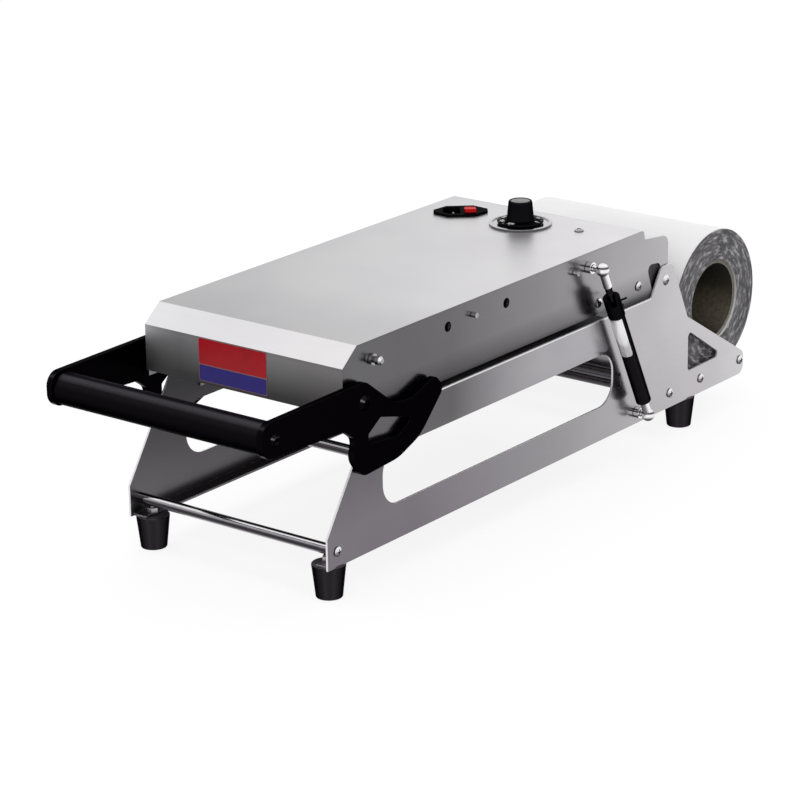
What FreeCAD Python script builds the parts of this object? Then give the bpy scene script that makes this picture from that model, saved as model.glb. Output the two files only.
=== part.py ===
import FreeCAD, Part
import math
import os

import Sketcher

# Tray sealing machine. Millimetres, +Z up, +Y towards the film roll, +X to the side of the gas spring.
# Heights and runs below are measured from the front lower corner of the side plates and from the mid-plane.
# The finished pieces are shifted so that the origin lies on the table, under the middle of the whole machine.

doc = FreeCAD.newDocument("TraySealer")
sheet = doc.addObject("Spreadsheet::Sheet", "Sizes")

SIZES = (
    # Frame of folded sheet
    ("frame_width", 230, "over both side plates"),
    ("plate_gauge", 2, "side plate sheet"),
    ("plate_length", 673, "side plate, front to tail"),
    ("plate_height", 121, "side plate top edge"),
    ("front_edge_height", 29, "upright stretch at the front"),
    ("front_slope_run", 60.5, "run of the sloping front edge"),
    ("post_front_lean", 32.2, "front edge of the post, degrees from upright"),
    ("post_ahead", 7.8, "post top's front corner, ahead of the hinge"),
    ("post_behind", 11.2, "post top's rear corner, behind the hinge"),
    ("post_over_hinge", 14.8, "post top above the hinge axis"),
    ("post_rounding", 10, "post corners"),
    ("post_rear_lean", 24.9, "rear edge of the post, degrees from upright"),
    ("knee_height", 86, "where the tail slope starts"),
    ("tail_height", 22.3, "upright stretch at the tail"),
    ("tail_rounding", 9, "tail corners"),
    ("slot_front", 78, "long slot"),
    ("slot_rear", 436, "long slot"),
    ("slot_low", 33.7, "long slot"),
    ("slot_upright", 8.3, "straight stretch between the slot's corners"),
    ("slot_rounding", 22, "long slot corners"),
    ("window_length", 64.5, "triangular window"),
    ("window_low", 28.5, "window, front lower corner"),
    ("window_front_land", 13.7, "window's upper front corner under the tail slope"),
    ("window_inset", 40, "window's rear corner ahead of the tail"),
    ("window_rear_land", 16.7, "its rear corner under the tail slope"),
    ("window_rounding", 4, "window corners"),
    ("flange_width", 16.5, "inward foot flange, with the gauge"),
    ("flange_inset", 4, "flange ends stay back from the plate ends"),
    # Feet
    ("foot_height", 31, "under the flange"),
    ("foot_top_radius", 15.5, ""),
    ("foot_low_radius", 12, ""),
    ("foot_inset", 11, "foot axis from a side plate's inner face"),
    ("foot_front", 17, "front foot axis"),
    ("foot_rear_inset", 99, "rear foot axis ahead of the tail"),
    ("foot_bolt_radius", 3, "bolt shank"),
    ("foot_bolt_head_radius", 6, ""),
    ("foot_bolt_head", 3, ""),
    ("foot_nut_radius", 5.7, "over its corners"),
    ("foot_nut", 4.8, ""),
    ("foot_bolt_end", 6, "bolt beyond the flange"),
    ("foot_well_radius", 7, "well for the bolt head"),
    ("foot_well_depth", 20, "well for the bolt head"),
    # Rods between the plates
    ("rod_radius", 5, "tie rods and latch bar"),
    ("front_rod_run", 13.4, ""),
    ("front_rod_height", 14.5, ""),
    ("rear_rod_behind", 9.3, "behind the hinge"),
    ("rear_rod_height", 15, ""),
    ("latch_back", 8.5, "ahead of the plate's upper front corner"),
    ("latch_drop", 28.5, "below the plate's top edge"),
    ("screw_radius", 2.5, "rod end screws, shank"),
    ("screw_length", 14, "rod end screws"),
    ("screw_head_radius", 4.6, ""),
    ("screw_head_height", 2.6, ""),
    ("screw_dome_radius", 7.4, "curve of every screw head"),
    ("cross_width", 1.2, "cross recess, slot width"),
    ("cross_span", 5, "cross recess, across"),
    ("cross_depth", 1.3, "cross recess"),
    ("seat_gap", 0.05, "round things seated in holes, radially"),
    ("running_gap", 0.05, "shafts that turn in holes, radially"),
    ("side_gap", 0.3, "things that turn beside others"),
    # Film roll and what carries it
    ("cradle_span", 73.6, "between the roll axles"),
    ("cradle_inset", 7, "rear roll axle ahead of the tail"),
    ("cradle_height", 15, "both roll axles"),
    ("axle_radius", 4, ""),
    ("roller_radius", 6, ""),
    ("roller_end_gap", 1.5, "between a roller and a side plate"),
    ("film_radius", 73, "wound film"),
    ("film_gap", 6.5, "between the film and a side plate"),
    ("core_recess", 2.3, "core ends inside the film's"),
    ("core_bore_radius", 38, ""),
    ("core_wall", 4.2, ""),
    # Film guide at the rear of the well
    ("guide_run", 447, ""),
    ("guide_low_height", 47, ""),
    ("guide_high_height", 57.5, ""),
    ("guide_radius", 4, ""),
    ("guide_journal_radius", 2.5, ""),
    ("back_panel_run", 457, "rear cross panel"),
    ("back_panel_low", 42, ""),
    ("back_panel_drop", 21, "its top below the plates' top edge"),
    ("back_flange", 14, "its side flanges"),
    # Mould
    ("rail_width", 12, "mould rail angle"),
    ("rail_height", 10, ""),
    ("rail_beyond_front", 7, "rail ahead of the mould"),
    ("rail_beyond_rear", 8, "rail behind the mould"),
    ("mould_drop", 13, "mould's underside below the plates' top edge"),
    ("mould_thickness", 11, ""),
    ("mould_gap", 2, "between the mould and a side plate"),
    ("mould_front", 105, ""),
    ("mould_rear", 430, ""),
    ("mould_rounding", 6, ""),
    ("mould_land", 21, "mould beside the tray opening"),
    ("mould_end_land", 37, "mould before and behind the opening"),
    ("tray_rounding", 20, ""),
    ("gasket_width", 5, ""),
    ("gasket_seat", 2, "rebate depth"),
    ("gasket_proud", 1, "above the mould"),
    # Head shell
    ("head_gap", 0.5, "between the head and a side plate"),
    ("shell_gauge", 1.5, ""),
    ("head_front", 28, ""),
    ("cover_over_plate", 11, "lower edge of the front face"),
    ("chamfer_drop", 16.2, "chamfer, below the head's top"),
    ("chamfer_run", 20, ""),
    ("head_over_plate", 70.2, "head's top above the plates' top edge"),
    ("head_rear_ahead", 38.2, "cover's rear edge ahead of the hinge"),
    ("panel_over_plate", 5.5, "lower edge of the head sides"),
    ("panel_drop_ahead", 31.6, "where the sides reach down, ahead of the cover's rear"),
    ("panel_under_hinge", 16.2, ""),
    ("panel_behind_hinge", 6.8, ""),
    ("panel_step_back", 2.4, "step behind the cover"),
    ("panel_step_drop", 9.8, "below the head's top"),
    ("panel_tab_drop", 14.6, "hinge tab's rear upper corner, below the head's top"),
    ("panel_tab_rounding", 9, ""),
    ("panel_low_rounding", 5, ""),
    ("notch_front_rise", 21.8, "notch beside the post, above the hinge axis"),
    ("notch_front_ahead", 30.8, "ahead of the hinge"),
    ("notch_rear_ahead", 4.8, "ahead of the hinge"),
    ("notch_rear_rise", 18.8, "above the hinge axis"),
    ("notch_drop", 10.2, "below the hinge axis"),
    ("notch_foot_front", 19.3, "ahead of the hinge"),
    ("notch_foot_rear", 13.3, "ahead of the hinge"),
    ("notch_rounding", 6, ""),
    ("notch_foot_rounding", 2, ""),
    ("hinge_run", 526.8, ""),
    ("hinge_over_plate", 12.2, "hinge axis above the plates' top edge"),
    ("hinge_pin_radius", 4, ""),
    ("hinge_pin_head_radius", 5.5, ""),
    ("hinge_pin_head", 2.4, ""),
    ("hinge_bush_radius", 6, ""),
    ("hinge_bush_length", 5, ""),
    ("hinge_collar_radius", 8.4, ""),
    ("back_cover_over_plate", 15, "head rear panel"),
    # Parts on the head's sides
    ("vent_radius", 4.75, ""),
    ("vent_front", 177.5, ""),
    ("vent_rear", 265.7, ""),
    ("vent_drop", 16.5, "below the head's top"),
    ("stud_front", 213.5, ""),
    ("stud_rear", 373, ""),
    ("stud_drop", 14.2, "below the head's top"),
    ("stud_radius", 2.5, ""),
    ("stud_length", 5.5, "outside the panel"),
    ("stop_run", 68, "handle's stop stud"),
    ("stop_drop", 17.2, "below the head's top"),
    ("stop_reach", 12, "outside the panel"),
    ("stop_head", 8, ""),
    ("stop_head_radius", 4, ""),
    ("stop_tip_radius", 2.2, ""),
    ("stop_bevel", 2, ""),
    ("stop_nut_radius", 5, ""),
    ("stop_nut", 3, ""),
    ("brace_span", 67.2, "between the rear brace screws"),
    ("brace_rear_ahead", 6.9, "rear brace screw ahead of the cover's rear"),
    ("brace_over_plate", 16.4, ""),
    ("brace_reach", 9, "brace plate above and below its screws"),
    ("brace_end", 4.5, "brace plate before and behind them"),
    ("cheek_tall", 42, "plates behind the notches, beside the hinge"),
    # Inside the head
    ("bridge_gauge", 2, ""),
    ("sleeve_length", 8.3, "between the insulation and the bridge"),
    ("bridge_drop", 9.2, "bridge's top below the head's top"),
    ("bridge_front", 55, ""),
    ("bridge_beyond", 25, "bridge floor beyond the heating plate"),
    ("heater_gap", 0.3, "release sheet above the gasket"),
    ("release_gauge", 0.4, ""),
    ("heater_thickness", 15, ""),
    ("heater_lap", 7, "heating plate beyond the tray opening"),
    ("heater_rod_radius", 4, ""),
    ("heater_rod_side", 50, "rod axes from the mid-plane"),
    ("heater_rod_length", 240, ""),
    ("heater_rod_tail", 8, "outside the plate"),
    ("pad_thickness", 6, ""),
    ("pad_inset", 3, ""),
    ("hanger_radius", 3, ""),
    ("hanger_edge", 15, "from the heating plate's sides"),
    ("hanger_inset", 14, "from the heater's ends"),
    ("hanger_depth", 10, "into the heating plate"),
    ("hanger_sleeve_radius", 6, ""),
    ("hanger_head_radius", 5, ""),
    ("hanger_head", 5, ""),
    ("knife_gauge", 1.2, ""),
    ("knife_gap", 2, "around the heating plate"),
    ("knife_lift", 1.5, "edge above the mould"),
    ("knife_teeth_depth", 2, "notches in the cutting edge"),
    ("knife_teeth_pitch", 8, ""),
    ("knife_teeth_gap", 2.4, "half a notch along the edge"),
    ("knife_hole_gap", 0.8, "round the heater rods and the capillary"),
    ("sensor_radius", 3, ""),
    ("sensor_length", 60, ""),
    ("capillary_radius", 1, ""),
    ("capillary_bend", 9, ""),
    # Controls
    ("dial_side", 2.7, ""),
    ("dial_ahead", 47.6, "ahead of the cover's rear"),
    ("dial_radius", 30.5, ""),
    ("dial_gauge", 1.2, ""),
    ("dial_rim_radius", 27.5, "inside of the raised rim"),
    ("dial_rim", 1, ""),
    ("knob_lift", 1.6, "knob above the dial's floor"),
    ("knob_skirt_radius", 22.5, ""),
    ("knob_skirt", 2.6, ""),
    ("knob_low_radius", 13.2, ""),
    ("knob_high_radius", 11.6, ""),
    ("knob_height", 21, ""),
    ("knob_rounding", 1, ""),
    ("spindle_radius", 3, ""),
    ("spindle_reach", 12, "inside the knob"),
    ("thermostat_width", 36, ""),
    ("thermostat_length", 42, ""),
    ("thermostat_height", 22, ""),
    ("thermostat_neck_radius", 5, ""),
    ("inlet_side", -69.5, ""),
    ("inlet_ahead", 47.1, "ahead of the cover's rear"),
    ("inlet_angle", 40, "long side from the X axis, degrees"),
    ("inlet_length", 53, ""),
    ("inlet_width", 33, ""),
    ("inlet_cut", 13, "corners cut off"),
    ("inlet_bezel", 2.6, ""),
    ("inlet_body_cut", 6, "corners cut off under the bezel"),
    ("socket_cut", 5, "its two corners beside the middle pin"),
    ("inlet_body_length", 44, ""),
    ("inlet_body_width", 26, ""),
    ("inlet_body_depth", 26, "under the bezel"),
    ("socket_centre", -9, "along the long side"),
    ("socket_length", 17, ""),
    ("socket_width", 24, ""),
    ("socket_depth", 17, ""),
    ("pin_spacing", 7, ""),
    ("pin_offset", 2, "outer pins from the socket's middle"),
    ("pin_width", 4, ""),
    ("pin_gauge", 2, ""),
    ("pin_height", 13, ""),
    ("rocker_centre", 9.5, "along the long side"),
    ("rocker_length", 11, ""),
    ("rocker_width", 19, ""),
    ("rocker_gap", 0.4, "around the rocker"),
    ("rocker_depth", 18, "its well, under the bezel's top"),
    ("rocker_drop", 3.6, "its pivot under the bezel's top"),
    ("rocker_taper", 0.9, "its ends, above and below the pivot"),
    ("rocker_proud", 0.9, "its middle above the bezel's top"),
    ("rocker_dish", 0.9, "its ends above its middle"),
    ("rocker_pivot_radius", 1.2, ""),
    ("rocker_tilt", 8, "each way, degrees"),
    ("cover_screw_side", 63, ""),
    ("cover_screw_ahead", 35.6, "ahead of the cover's rear"),
    # Handle
    ("cam_gap", 0.8, "between a side plate and its arm"),
    ("cam_gauge", 6, ""),
    ("pivot_run", 46, ""),
    ("pivot_over_plate", 20.7, "handle axis above the plates' top edge"),
    ("pivot_radius", 4, ""),
    ("pivot_head_radius", 7, ""),
    ("pivot_head", 3, ""),
    ("pivot_crown_radius", 4.2, "flat of the head"),
    ("pivot_key_radius", 2.8, "hexagon in the head"),
    ("pivot_key_depth", 2.1, ""),
    ("pivot_nut_radius", 7.5, ""),
    ("pivot_nut", 6, ""),
    ("spacer_radius", 8, ""),
    ("arm_front", -136.5, "the arms are drawn from their pivot"),
    ("arm_low", -14, ""),
    ("arm_high", 17.5, ""),
    ("arm_rounding", 13, ""),
    ("hub_top_run", 2, ""),
    ("hub_top_height", 19, ""),
    ("hub_rounding", 16, ""),
    ("valley_run", 43, ""),
    ("valley_height", -12, ""),
    ("valley_rounding", 24, ""),
    ("shoulder_run", 67, ""),
    ("shoulder_height", -13, ""),
    ("horn_top_run", 101, ""),
    ("horn_top_height", -2, ""),
    ("horn_rear_run", 113, ""),
    ("horn_rear_height", -16, ""),
    ("horn_rounding", 8, ""),
    ("belly_run", 78, ""),
    ("belly_height", -51.2, ""),
    ("belly_front_run", 46, ""),
    ("belly_front_height", -63.1, ""),
    ("belly_rounding", 50, ""),
    ("lobe_low_run", -5, ""),
    ("lobe_low_height", -66.1, ""),
    ("lobe_front_run", -18.5, ""),
    ("lobe_front_height", -45.7, ""),
    ("lobe_rounding", 14, ""),
    ("throat_run", -12.5, ""),
    ("throat_height", -29.7, ""),
    ("throat_end_run", -28, ""),
    ("throat_end_height", -18.5, ""),
    ("throat_rounding", 10, ""),
    ("hook_front_run", 5, "opening in the cam"),
    ("hook_front_low", -38.7, ""),
    ("hook_front_high", -29.7, ""),
    ("hook_top_run", 22, ""),
    ("hook_top_height", -18.7, ""),
    ("hook_rear_run", 67, ""),
    ("hook_rear_height", -30.7, ""),
    ("hook_low_run", 47, ""),
    ("hook_low_height", -42.2, ""),
    ("hook_rounding", 2.5, ""),
    ("grip_run", -120, ""),
    ("grip_height", 0.3, ""),
    ("grip_radius", 14.8, ""),
    ("grip_edge", 1.2, "chamfer at its ends"),
    ("grip_screw_radius", 4, ""),
    ("grip_screw_length", 26, ""),
    ("grip_screw_head_radius", 6, ""),
    ("grip_screw_head", 2.6, ""),
    ("grip_crown_radius", 3.6, "flat of the head"),
    ("grip_key_radius", 2.4, "hexagon in the head"),
    ("grip_key_depth", 1.82, ""),
    # Gas spring
    ("spring_out", 14, "plane of the gas spring outside the side plate"),
    ("spring_top_run", 396, ""),
    ("spring_top_drop", 14, "below the head's top"),
    ("spring_low_ahead", 50.3, "lower ball ahead of the hinge"),
    ("spring_low_height", 12, ""),
    ("ball_radius", 4, ""),
    ("socket_shell", 2.4, "socket wall round the ball"),
    ("socket_mouth_radius", 3.6, "opening for the stud"),
    ("socket_neck_radius", 4.2, ""),
    ("ball_neck_radius", 3.2, ""),
    ("ball_thread_radius", 3, ""),
    ("ball_collar_radius", 5.5, ""),
    ("ball_collar", 6, ""),
    ("ball_nut_radius", 5.5, ""),
    ("ball_nut", 5, ""),
    ("ball_nut_room", 1.1, "bridge hole round the nut"),
    ("rod_neck_end", 20.5, "from the upper ball"),
    ("piston_rod_radius", 3.5, ""),
    ("piston_rod_end", 150, "from the upper ball"),
    ("cap_start", 33.5, "from the upper ball"),
    ("cap_end", 56, "from the upper ball"),
    ("cap_radius", 8.3, ""),
    ("cap_bore_radius", 4.1, ""),
    ("cap_slot_width", 6, "slot in the cap's upper end, outwards and forwards"),
    ("cap_slot_depth", 7, ""),
    ("cap_pin_start", 41.4, "from the upper ball"),
    ("cap_pin_radius", 1, "release pin, pointing rearwards"),
    ("cap_pin_reach", 22.4, "behind the spring's axis"),
    ("tube_to_ball", 19, "tube's end to the lower ball"),
    ("tube_radius", 7.5, ""),
    ("tube_bore_radius", 6, ""),
    ("tube_floor", 4, ""),
)

for row, (alias, number, note) in enumerate(SIZES, 1):
    sheet.set("A%d" % row, alias)
    sheet.set("B%d" % row, str(number))
    sheet.set("C%d" % row, note)
    sheet.setAlias("B%d" % row, alias)
doc.recompute()


class Size:
    """A number together with the sheet formula that gives it."""

    def __init__(self, number, formula):
        self.number = number
        self.formula = formula

    def joined(self, other, sign, number):
        return Size(number, "(%s %s %s)" % (self.formula, sign, other.formula))

    def __add__(self, other):
        other = size(other)
        return self.joined(other, "+", self.number + other.number)

    def __sub__(self, other):
        other = size(other)
        return self.joined(other, "-", self.number - other.number)

    def __mul__(self, other):
        other = size(other)
        return self.joined(other, "*", self.number * other.number)

    def __truediv__(self, other):
        other = size(other)
        return self.joined(other, "/", self.number / other.number)

    def __radd__(self, other):
        return size(other) + self

    def __rsub__(self, other):
        return size(other) - self

    def __rmul__(self, other):
        return size(other) * self

    def __neg__(self):
        return size(0) - self

    def __float__(self):
        return float(self.number)


def size(number):
    if isinstance(number, Size):
        return number
    return Size(float(number), "%.9g" % number if number >= 0 else "(%.9g)" % number)


class Sheet:
    """Gives each cell of the sheet as a Size, by its alias."""

    def __getattr__(self, alias):
        return Size(float(sheet.get(alias)), "Sizes." + alias)


s = Sheet()



def lean(angle):
    """Tangent of an angle of the sheet, which is in degrees."""
    return Size(math.tan(math.radians(float(angle))), "tan(%s * 1 deg)" % angle.formula)


# Sides that several pieces share, out from the mid-plane
FRAME_SIDE = s.frame_width / 2
FRAME_INSIDE = FRAME_SIDE - s.plate_gauge
FOOT_SIDE = FRAME_INSIDE - s.foot_inset
HEAD_SIDE = FRAME_INSIDE - s.head_gap
HEAD_INSIDE = HEAD_SIDE - s.shell_gauge
HEAD_WIDTH = HEAD_SIDE * 2
MOULD_SIDE = FRAME_INSIDE - s.mould_gap
TRAY_SIDE = MOULD_SIDE - s.mould_land
HEATER_SIDE = TRAY_SIDE + s.heater_lap
HEATER_WIDTH = HEATER_SIDE * 2
HANGER_SIDE = HEATER_SIDE - s.hanger_edge
FILM_SIDE = FRAME_INSIDE - s.film_gap
CORE_SIDE = FILM_SIDE - s.core_recess
ARM_INSIDE = FRAME_SIDE + s.cam_gap
ARM_OUTSIDE = ARM_INSIDE + s.cam_gauge
SPRING_SIDE = FRAME_SIDE + s.spring_out

# Heights: the head, the handle, the latch and the mould keep to the top edge of the side plates
HINGE_HEIGHT = s.plate_height + s.hinge_over_plate
PIVOT_HEIGHT = s.plate_height + s.pivot_over_plate
LATCH_HEIGHT = s.plate_height - s.latch_drop
BACK_PANEL_HIGH = s.plate_height - s.back_panel_drop
SLOT_HIGH = s.slot_low + s.slot_rounding * 2 + s.slot_upright
PANEL_LOW = s.plate_height + s.panel_over_plate
COVER_LOW = s.plate_height + s.cover_over_plate
BACK_COVER_LOW = s.plate_height + s.back_cover_over_plate
BRACE_HEIGHT = s.plate_height + s.brace_over_plate
PANEL_HINGE_LOW = HINGE_HEIGHT - s.panel_under_hinge
HEAD_TOP = s.plate_height + s.head_over_plate
COVER_INSIDE = HEAD_TOP - s.shell_gauge
CHAMFER_LOW = HEAD_TOP - s.chamfer_drop
PANEL_STEP_TOP = HEAD_TOP - s.panel_step_drop
PANEL_TAB_TOP = HEAD_TOP - s.panel_tab_drop
VENT_HEIGHT = HEAD_TOP - s.vent_drop
STUD_HEIGHT = HEAD_TOP - s.stud_drop
STOP_HEIGHT = HEAD_TOP - s.stop_drop
SPRING_TOP_HEIGHT = HEAD_TOP - s.spring_top_drop
MOULD_LOW = s.plate_height - s.mould_drop
MOULD_TOP = MOULD_LOW + s.mould_thickness
RELEASE_LOW = MOULD_TOP + s.gasket_proud + s.heater_gap
HEATER_LOW = RELEASE_LOW + s.release_gauge
HEATER_TOP = HEATER_LOW + s.heater_thickness
PAD_TOP = HEATER_TOP + s.pad_thickness
BRIDGE_LOW = PAD_TOP + s.sleeve_length
BRIDGE_HIGH = HEAD_TOP - s.bridge_drop

# Runs: the post and the rear of the head keep to the hinge, the roll and its window to the tail
POST_TOP = HINGE_HEIGHT + s.post_over_hinge
POST_FRONT = s.hinge_run - s.post_ahead
POST_REAR = s.hinge_run + s.post_behind
POST_FOOT = POST_FRONT - (POST_TOP - s.plate_height) * lean(s.post_front_lean)
KNEE_RUN = POST_REAR + (POST_TOP - s.knee_height) * lean(s.post_rear_lean)
LATCH_RUN = s.front_slope_run - s.latch_back
HEAD_REAR = s.hinge_run - s.head_rear_ahead
PANEL_REAR = s.hinge_run + s.panel_behind_hinge
PANEL_STEP_RUN = HEAD_REAR + s.panel_step_back
PANEL_DROP_RUN = HEAD_REAR - s.panel_drop_ahead
BRACE_REAR = HEAD_REAR - s.brace_rear_ahead
BRACE_FRONT = BRACE_REAR - s.brace_span
DIAL_RUN = HEAD_REAR - s.dial_ahead
INLET_RUN = HEAD_REAR - s.inlet_ahead
COVER_SCREW_RUN = HEAD_REAR - s.cover_screw_ahead
TRAY_FRONT = s.mould_front + s.mould_end_land
TRAY_REAR = s.mould_rear - s.mould_end_land
HEATER_FRONT = TRAY_FRONT - s.heater_lap
HEATER_REAR = TRAY_REAR + s.heater_lap
RAIL_FRONT = s.mould_front - s.rail_beyond_front
RAIL_REAR = s.mould_rear + s.rail_beyond_rear
BRIDGE_FLOOR_FRONT = HEATER_FRONT - s.bridge_beyond
BRIDGE_REAR = HEATER_REAR + s.bridge_beyond
CRADLE_REAR = s.plate_length - s.cradle_inset
CRADLE_FRONT = CRADLE_REAR - s.cradle_span
REAR_ROD_RUN = s.hinge_run + s.rear_rod_behind
SPRING_LOW_RUN = s.hinge_run - s.spring_low_ahead
FOOT_REAR = s.plate_length - s.foot_rear_inset
WINDOW_REAR = s.plate_length - s.window_inset
WINDOW_FRONT = WINDOW_REAR - s.window_length
TAIL_FALL = (s.knee_height - s.tail_height) / (s.plate_length - KNEE_RUN)
WINDOW_HIGH = s.knee_height - (WINDOW_FRONT - KNEE_RUN) * TAIL_FALL - s.window_front_land
WINDOW_REAR_HEIGHT = s.knee_height - (WINDOW_REAR - KNEE_RUN) * TAIL_FALL - s.window_rear_land

# The roll lies on its two rollers, a side gap clear of both
HALF_SPAN = (CRADLE_REAR - CRADLE_FRONT) / 2
ROLL_RUN = (CRADLE_REAR + CRADLE_FRONT) / 2
reach = s.film_radius + s.roller_radius + s.side_gap
rise = math.sqrt(float(reach) ** 2 - float(HALF_SPAN) ** 2)
ROLL_RISE = Size(rise, "sqrt(%s ^ 2 - %s ^ 2)" % (reach.formula, HALF_SPAN.formula))
ROLL_HEIGHT = s.cradle_height + ROLL_RISE

# The origin: mid-way between the spring's cap and the left arm's pivot head, and between grip and roll
RIGHT_REACH = SPRING_SIDE + s.cap_radius
LEFT_REACH = ARM_OUTSIDE + s.pivot_head
ORIGIN_SIDE = (RIGHT_REACH - LEFT_REACH) / 2
ORIGIN_RUN = (ROLL_RUN + s.film_radius + s.pivot_run + s.arm_front) / 2

X_AXIS = FreeCAD.Vector(1, 0, 0)
Y_AXIS = FreeCAD.Vector(0, 1, 0)
Z_AXIS = FreeCAD.Vector(0, 0, 1)
ALONG = {
    "x": FreeCAD.Rotation(Z_AXIS, X_AXIS),
    "y": FreeCAD.Rotation(Z_AXIS, Y_AXIS),
    "z": FreeCAD.Rotation(),
}
SIDES = (("right", 1), ("left", -1))
SAME_PLACE = 0.01
nodes = []


def vector(side, run, height):
    return FreeCAD.Vector(float(side), float(run), float(height))


def bind(thing, **sizes):
    for name, wanted in sizes.items():
        thing.setExpression(name, size(wanted).formula)


def place(thing, side=0, run=0, height=0, along="z"):
    """Puts a bound object at a place given in the machine's measures."""
    thing.Placement.Rotation = ALONG[along]
    base = (size(side) - ORIGIN_SIDE, size(run) - ORIGIN_RUN, size(height) + s.foot_height)
    for letter, distance in zip("xyz", base):
        thing.setExpression("Placement.Base." + letter, distance.formula)
    return thing


def keep(thing):
    """Counts an object as a finished piece, named by its Label."""
    nodes.append(thing)
    return thing


def rod(name, radius, length, side, run, height, along="x"):
    thing = doc.addObject("Part::Cylinder", name)
    bind(thing, Radius=radius, Height=length)
    return place(thing, side, run, height, along)


def block(name, width, length, tall, side, run, height):
    """A box from its low corner."""
    thing = doc.addObject("Part::Box", name)
    bind(thing, Length=width, Width=length, Height=tall)
    return place(thing, side, run, height)


def cone(name, low_radius, high_radius, tall, side, run, height):
    thing = doc.addObject("Part::Cone", name)
    bind(thing, Radius1=low_radius, Radius2=high_radius, Height=tall)
    return place(thing, side, run, height)


def fused(name, *members):
    thing = doc.addObject("Part::MultiFuse", name)
    thing.Shapes = list(members)
    return thing


def group(name, members):
    """Separate solids that share one node."""
    thing = doc.addObject("Part::Compound", name)
    thing.Links = list(members)
    return thing


def cut(name, base, *tools):
    thing = doc.addObject("Part::Cut", name)
    thing.Base = base
    thing.Tool = tools[0] if len(tools) == 1 else fused(name + "_tools", *tools)
    return thing


def shaped(name, shape):
    """A piece made with Part's own functions, drawn in the machine's measures."""
    thing = doc.addObject("Part::Feature", name)
    thing.Shape = shape
    thing.Placement = FreeCAD.Placement(vector(-ORIGIN_SIDE, -ORIGIN_RUN, s.foot_height), FreeCAD.Rotation())
    return thing


def body(name):
    return doc.addObject("PartDesign::Body", name)


def sketch_on(owner, role, name):
    sketch = owner.newObject("Sketcher::SketchObject", name)
    plane = [item for item in owner.Origin.OriginFeatures if item.Role == role][0]
    sketch.AttachmentSupport = (plane, [""])
    sketch.MapMode = "FlatFace"
    return sketch


def pin_point(sketch, geometry, end, across, up):
    """Holds one point of a sketch at a bound place."""
    for kind, distance in (("DistanceX", across), ("DistanceY", up)):
        held = Sketcher.Constraint(kind, -1, 1, geometry, end, float(distance))
        number = sketch.addConstraint(held)
        sketch.setExpression("Constraints[%d]" % number, size(distance).formula)


def draw_outline(sketch, corners):
    """A closed outline of straight lines through the corners."""
    first = sketch.GeometryCount
    count = len(corners)
    points = [vector(corner[0], corner[1], 0) for corner in corners]
    for number in range(count):
        sketch.addGeometry(Part.LineSegment(points[number], points[(number + 1) % count]))
    for number in range(count):
        following = first + (number + 1) % count
        sketch.addConstraint(Sketcher.Constraint("Coincident", first + number, 2, following, 1))
    for number, corner in enumerate(corners):
        pin_point(sketch, first + number, 1, corner[0], corner[1])


def draw_circle(sketch, across, up, radius):
    number = sketch.addGeometry(Part.Circle(vector(across, up, 0), Z_AXIS, float(radius)))
    pin_point(sketch, number, 3, across, up)
    held = sketch.addConstraint(Sketcher.Constraint("Radius", number, float(radius)))
    sketch.setExpression("Constraints[%d]" % held, size(radius).formula)


def upright_edges(feature, sketch, corners):
    """Names of the feature's edges that stand on the given corners of the sketch."""
    normal = sketch.Placement.Rotation.multVec(Z_AXIS)
    spots = [sketch.Placement.multVec(vector(corner[0], corner[1], 0)) for corner in corners]
    names = []
    for number, edge in enumerate(feature.Shape.Edges, 1):
        start = edge.Vertexes[0].Point
        end = edge.Vertexes[-1].Point
        if start.isEqual(end, SAME_PLACE):
            continue
        spot = nearest(start, spots, normal)
        away = max((start - spot).cross(normal).Length, (end - spot).cross(normal).Length)
        if away < SAME_PLACE:
            names.append("Edge%d" % number)
    return names


def nearest(point, spots, normal):
    return min(spots, key=lambda spot: (point - spot).cross(normal).Length)


def round_corners(owner, feature, sketch, outlines):
    """Rounds each corner that carries a radius: corners of like radius share one fillet."""
    radii = {}
    for outline in outlines:
        for corner in outline:
            if len(corner) > 2:
                radii.setdefault(corner[2].formula, []).append(corner)
    for number, alike in enumerate(radii.values()):
        doc.recompute()
        fillet = owner.newObject("PartDesign::Fillet", "%s_rounding_%d" % (owner.Name, number))
        fillet.Base = (feature, upright_edges(feature, sketch, alike))
        bind(fillet, Radius=alike[0][2])
        feature = fillet
    return feature


def pad(owner, sketch, thickness):
    feature = owner.newObject("PartDesign::Pad", sketch.Name + "_pad")
    feature.Profile = sketch
    bind(feature, Length=thickness)
    sketch.Visibility = False
    return feature


def sheet_piece(name, role, outline, thickness, openings=(), circles=()):
    """A body padded from one sketch, with its openings, holes and rounded corners."""
    owner = body(name)
    sketch = sketch_on(owner, role, name + "_outline")
    draw_outline(sketch, outline)
    for opening in openings:
        draw_outline(sketch, opening)
    for circle in circles:
        draw_circle(sketch, *circle)
    feature = pad(owner, sketch, thickness)
    round_corners(owner, feature, sketch, [outline, *openings])
    return owner


def cross_screw(side, run, height, axis, shank, length, head_radius, head):
    """A round-headed screw with a cross recess, placed under its head. The axis points out of the head."""
    dome = float(s.screw_dome_radius)
    skirt = Part.makeCylinder(head_radius, head)
    ball = Part.makeSphere(dome, FreeCAD.Vector(0, 0, head - dome))
    solid = skirt.common(ball).fuse(Part.makeCylinder(shank, length, FreeCAD.Vector(0, 0, -length)))
    span, width, depth = float(s.cross_span), float(s.cross_width), float(s.cross_depth)
    for long, broad in ((span, width), (width, span)):
        corner = FreeCAD.Vector(-long / 2, -broad / 2, head - depth)
        solid = solid.cut(Part.makeBox(long, broad, head, corner))
    turn = FreeCAD.Rotation(Z_AXIS, axis)
    solid.Placement = FreeCAD.Placement(vector(side, run, height), turn)
    return solid


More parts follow.
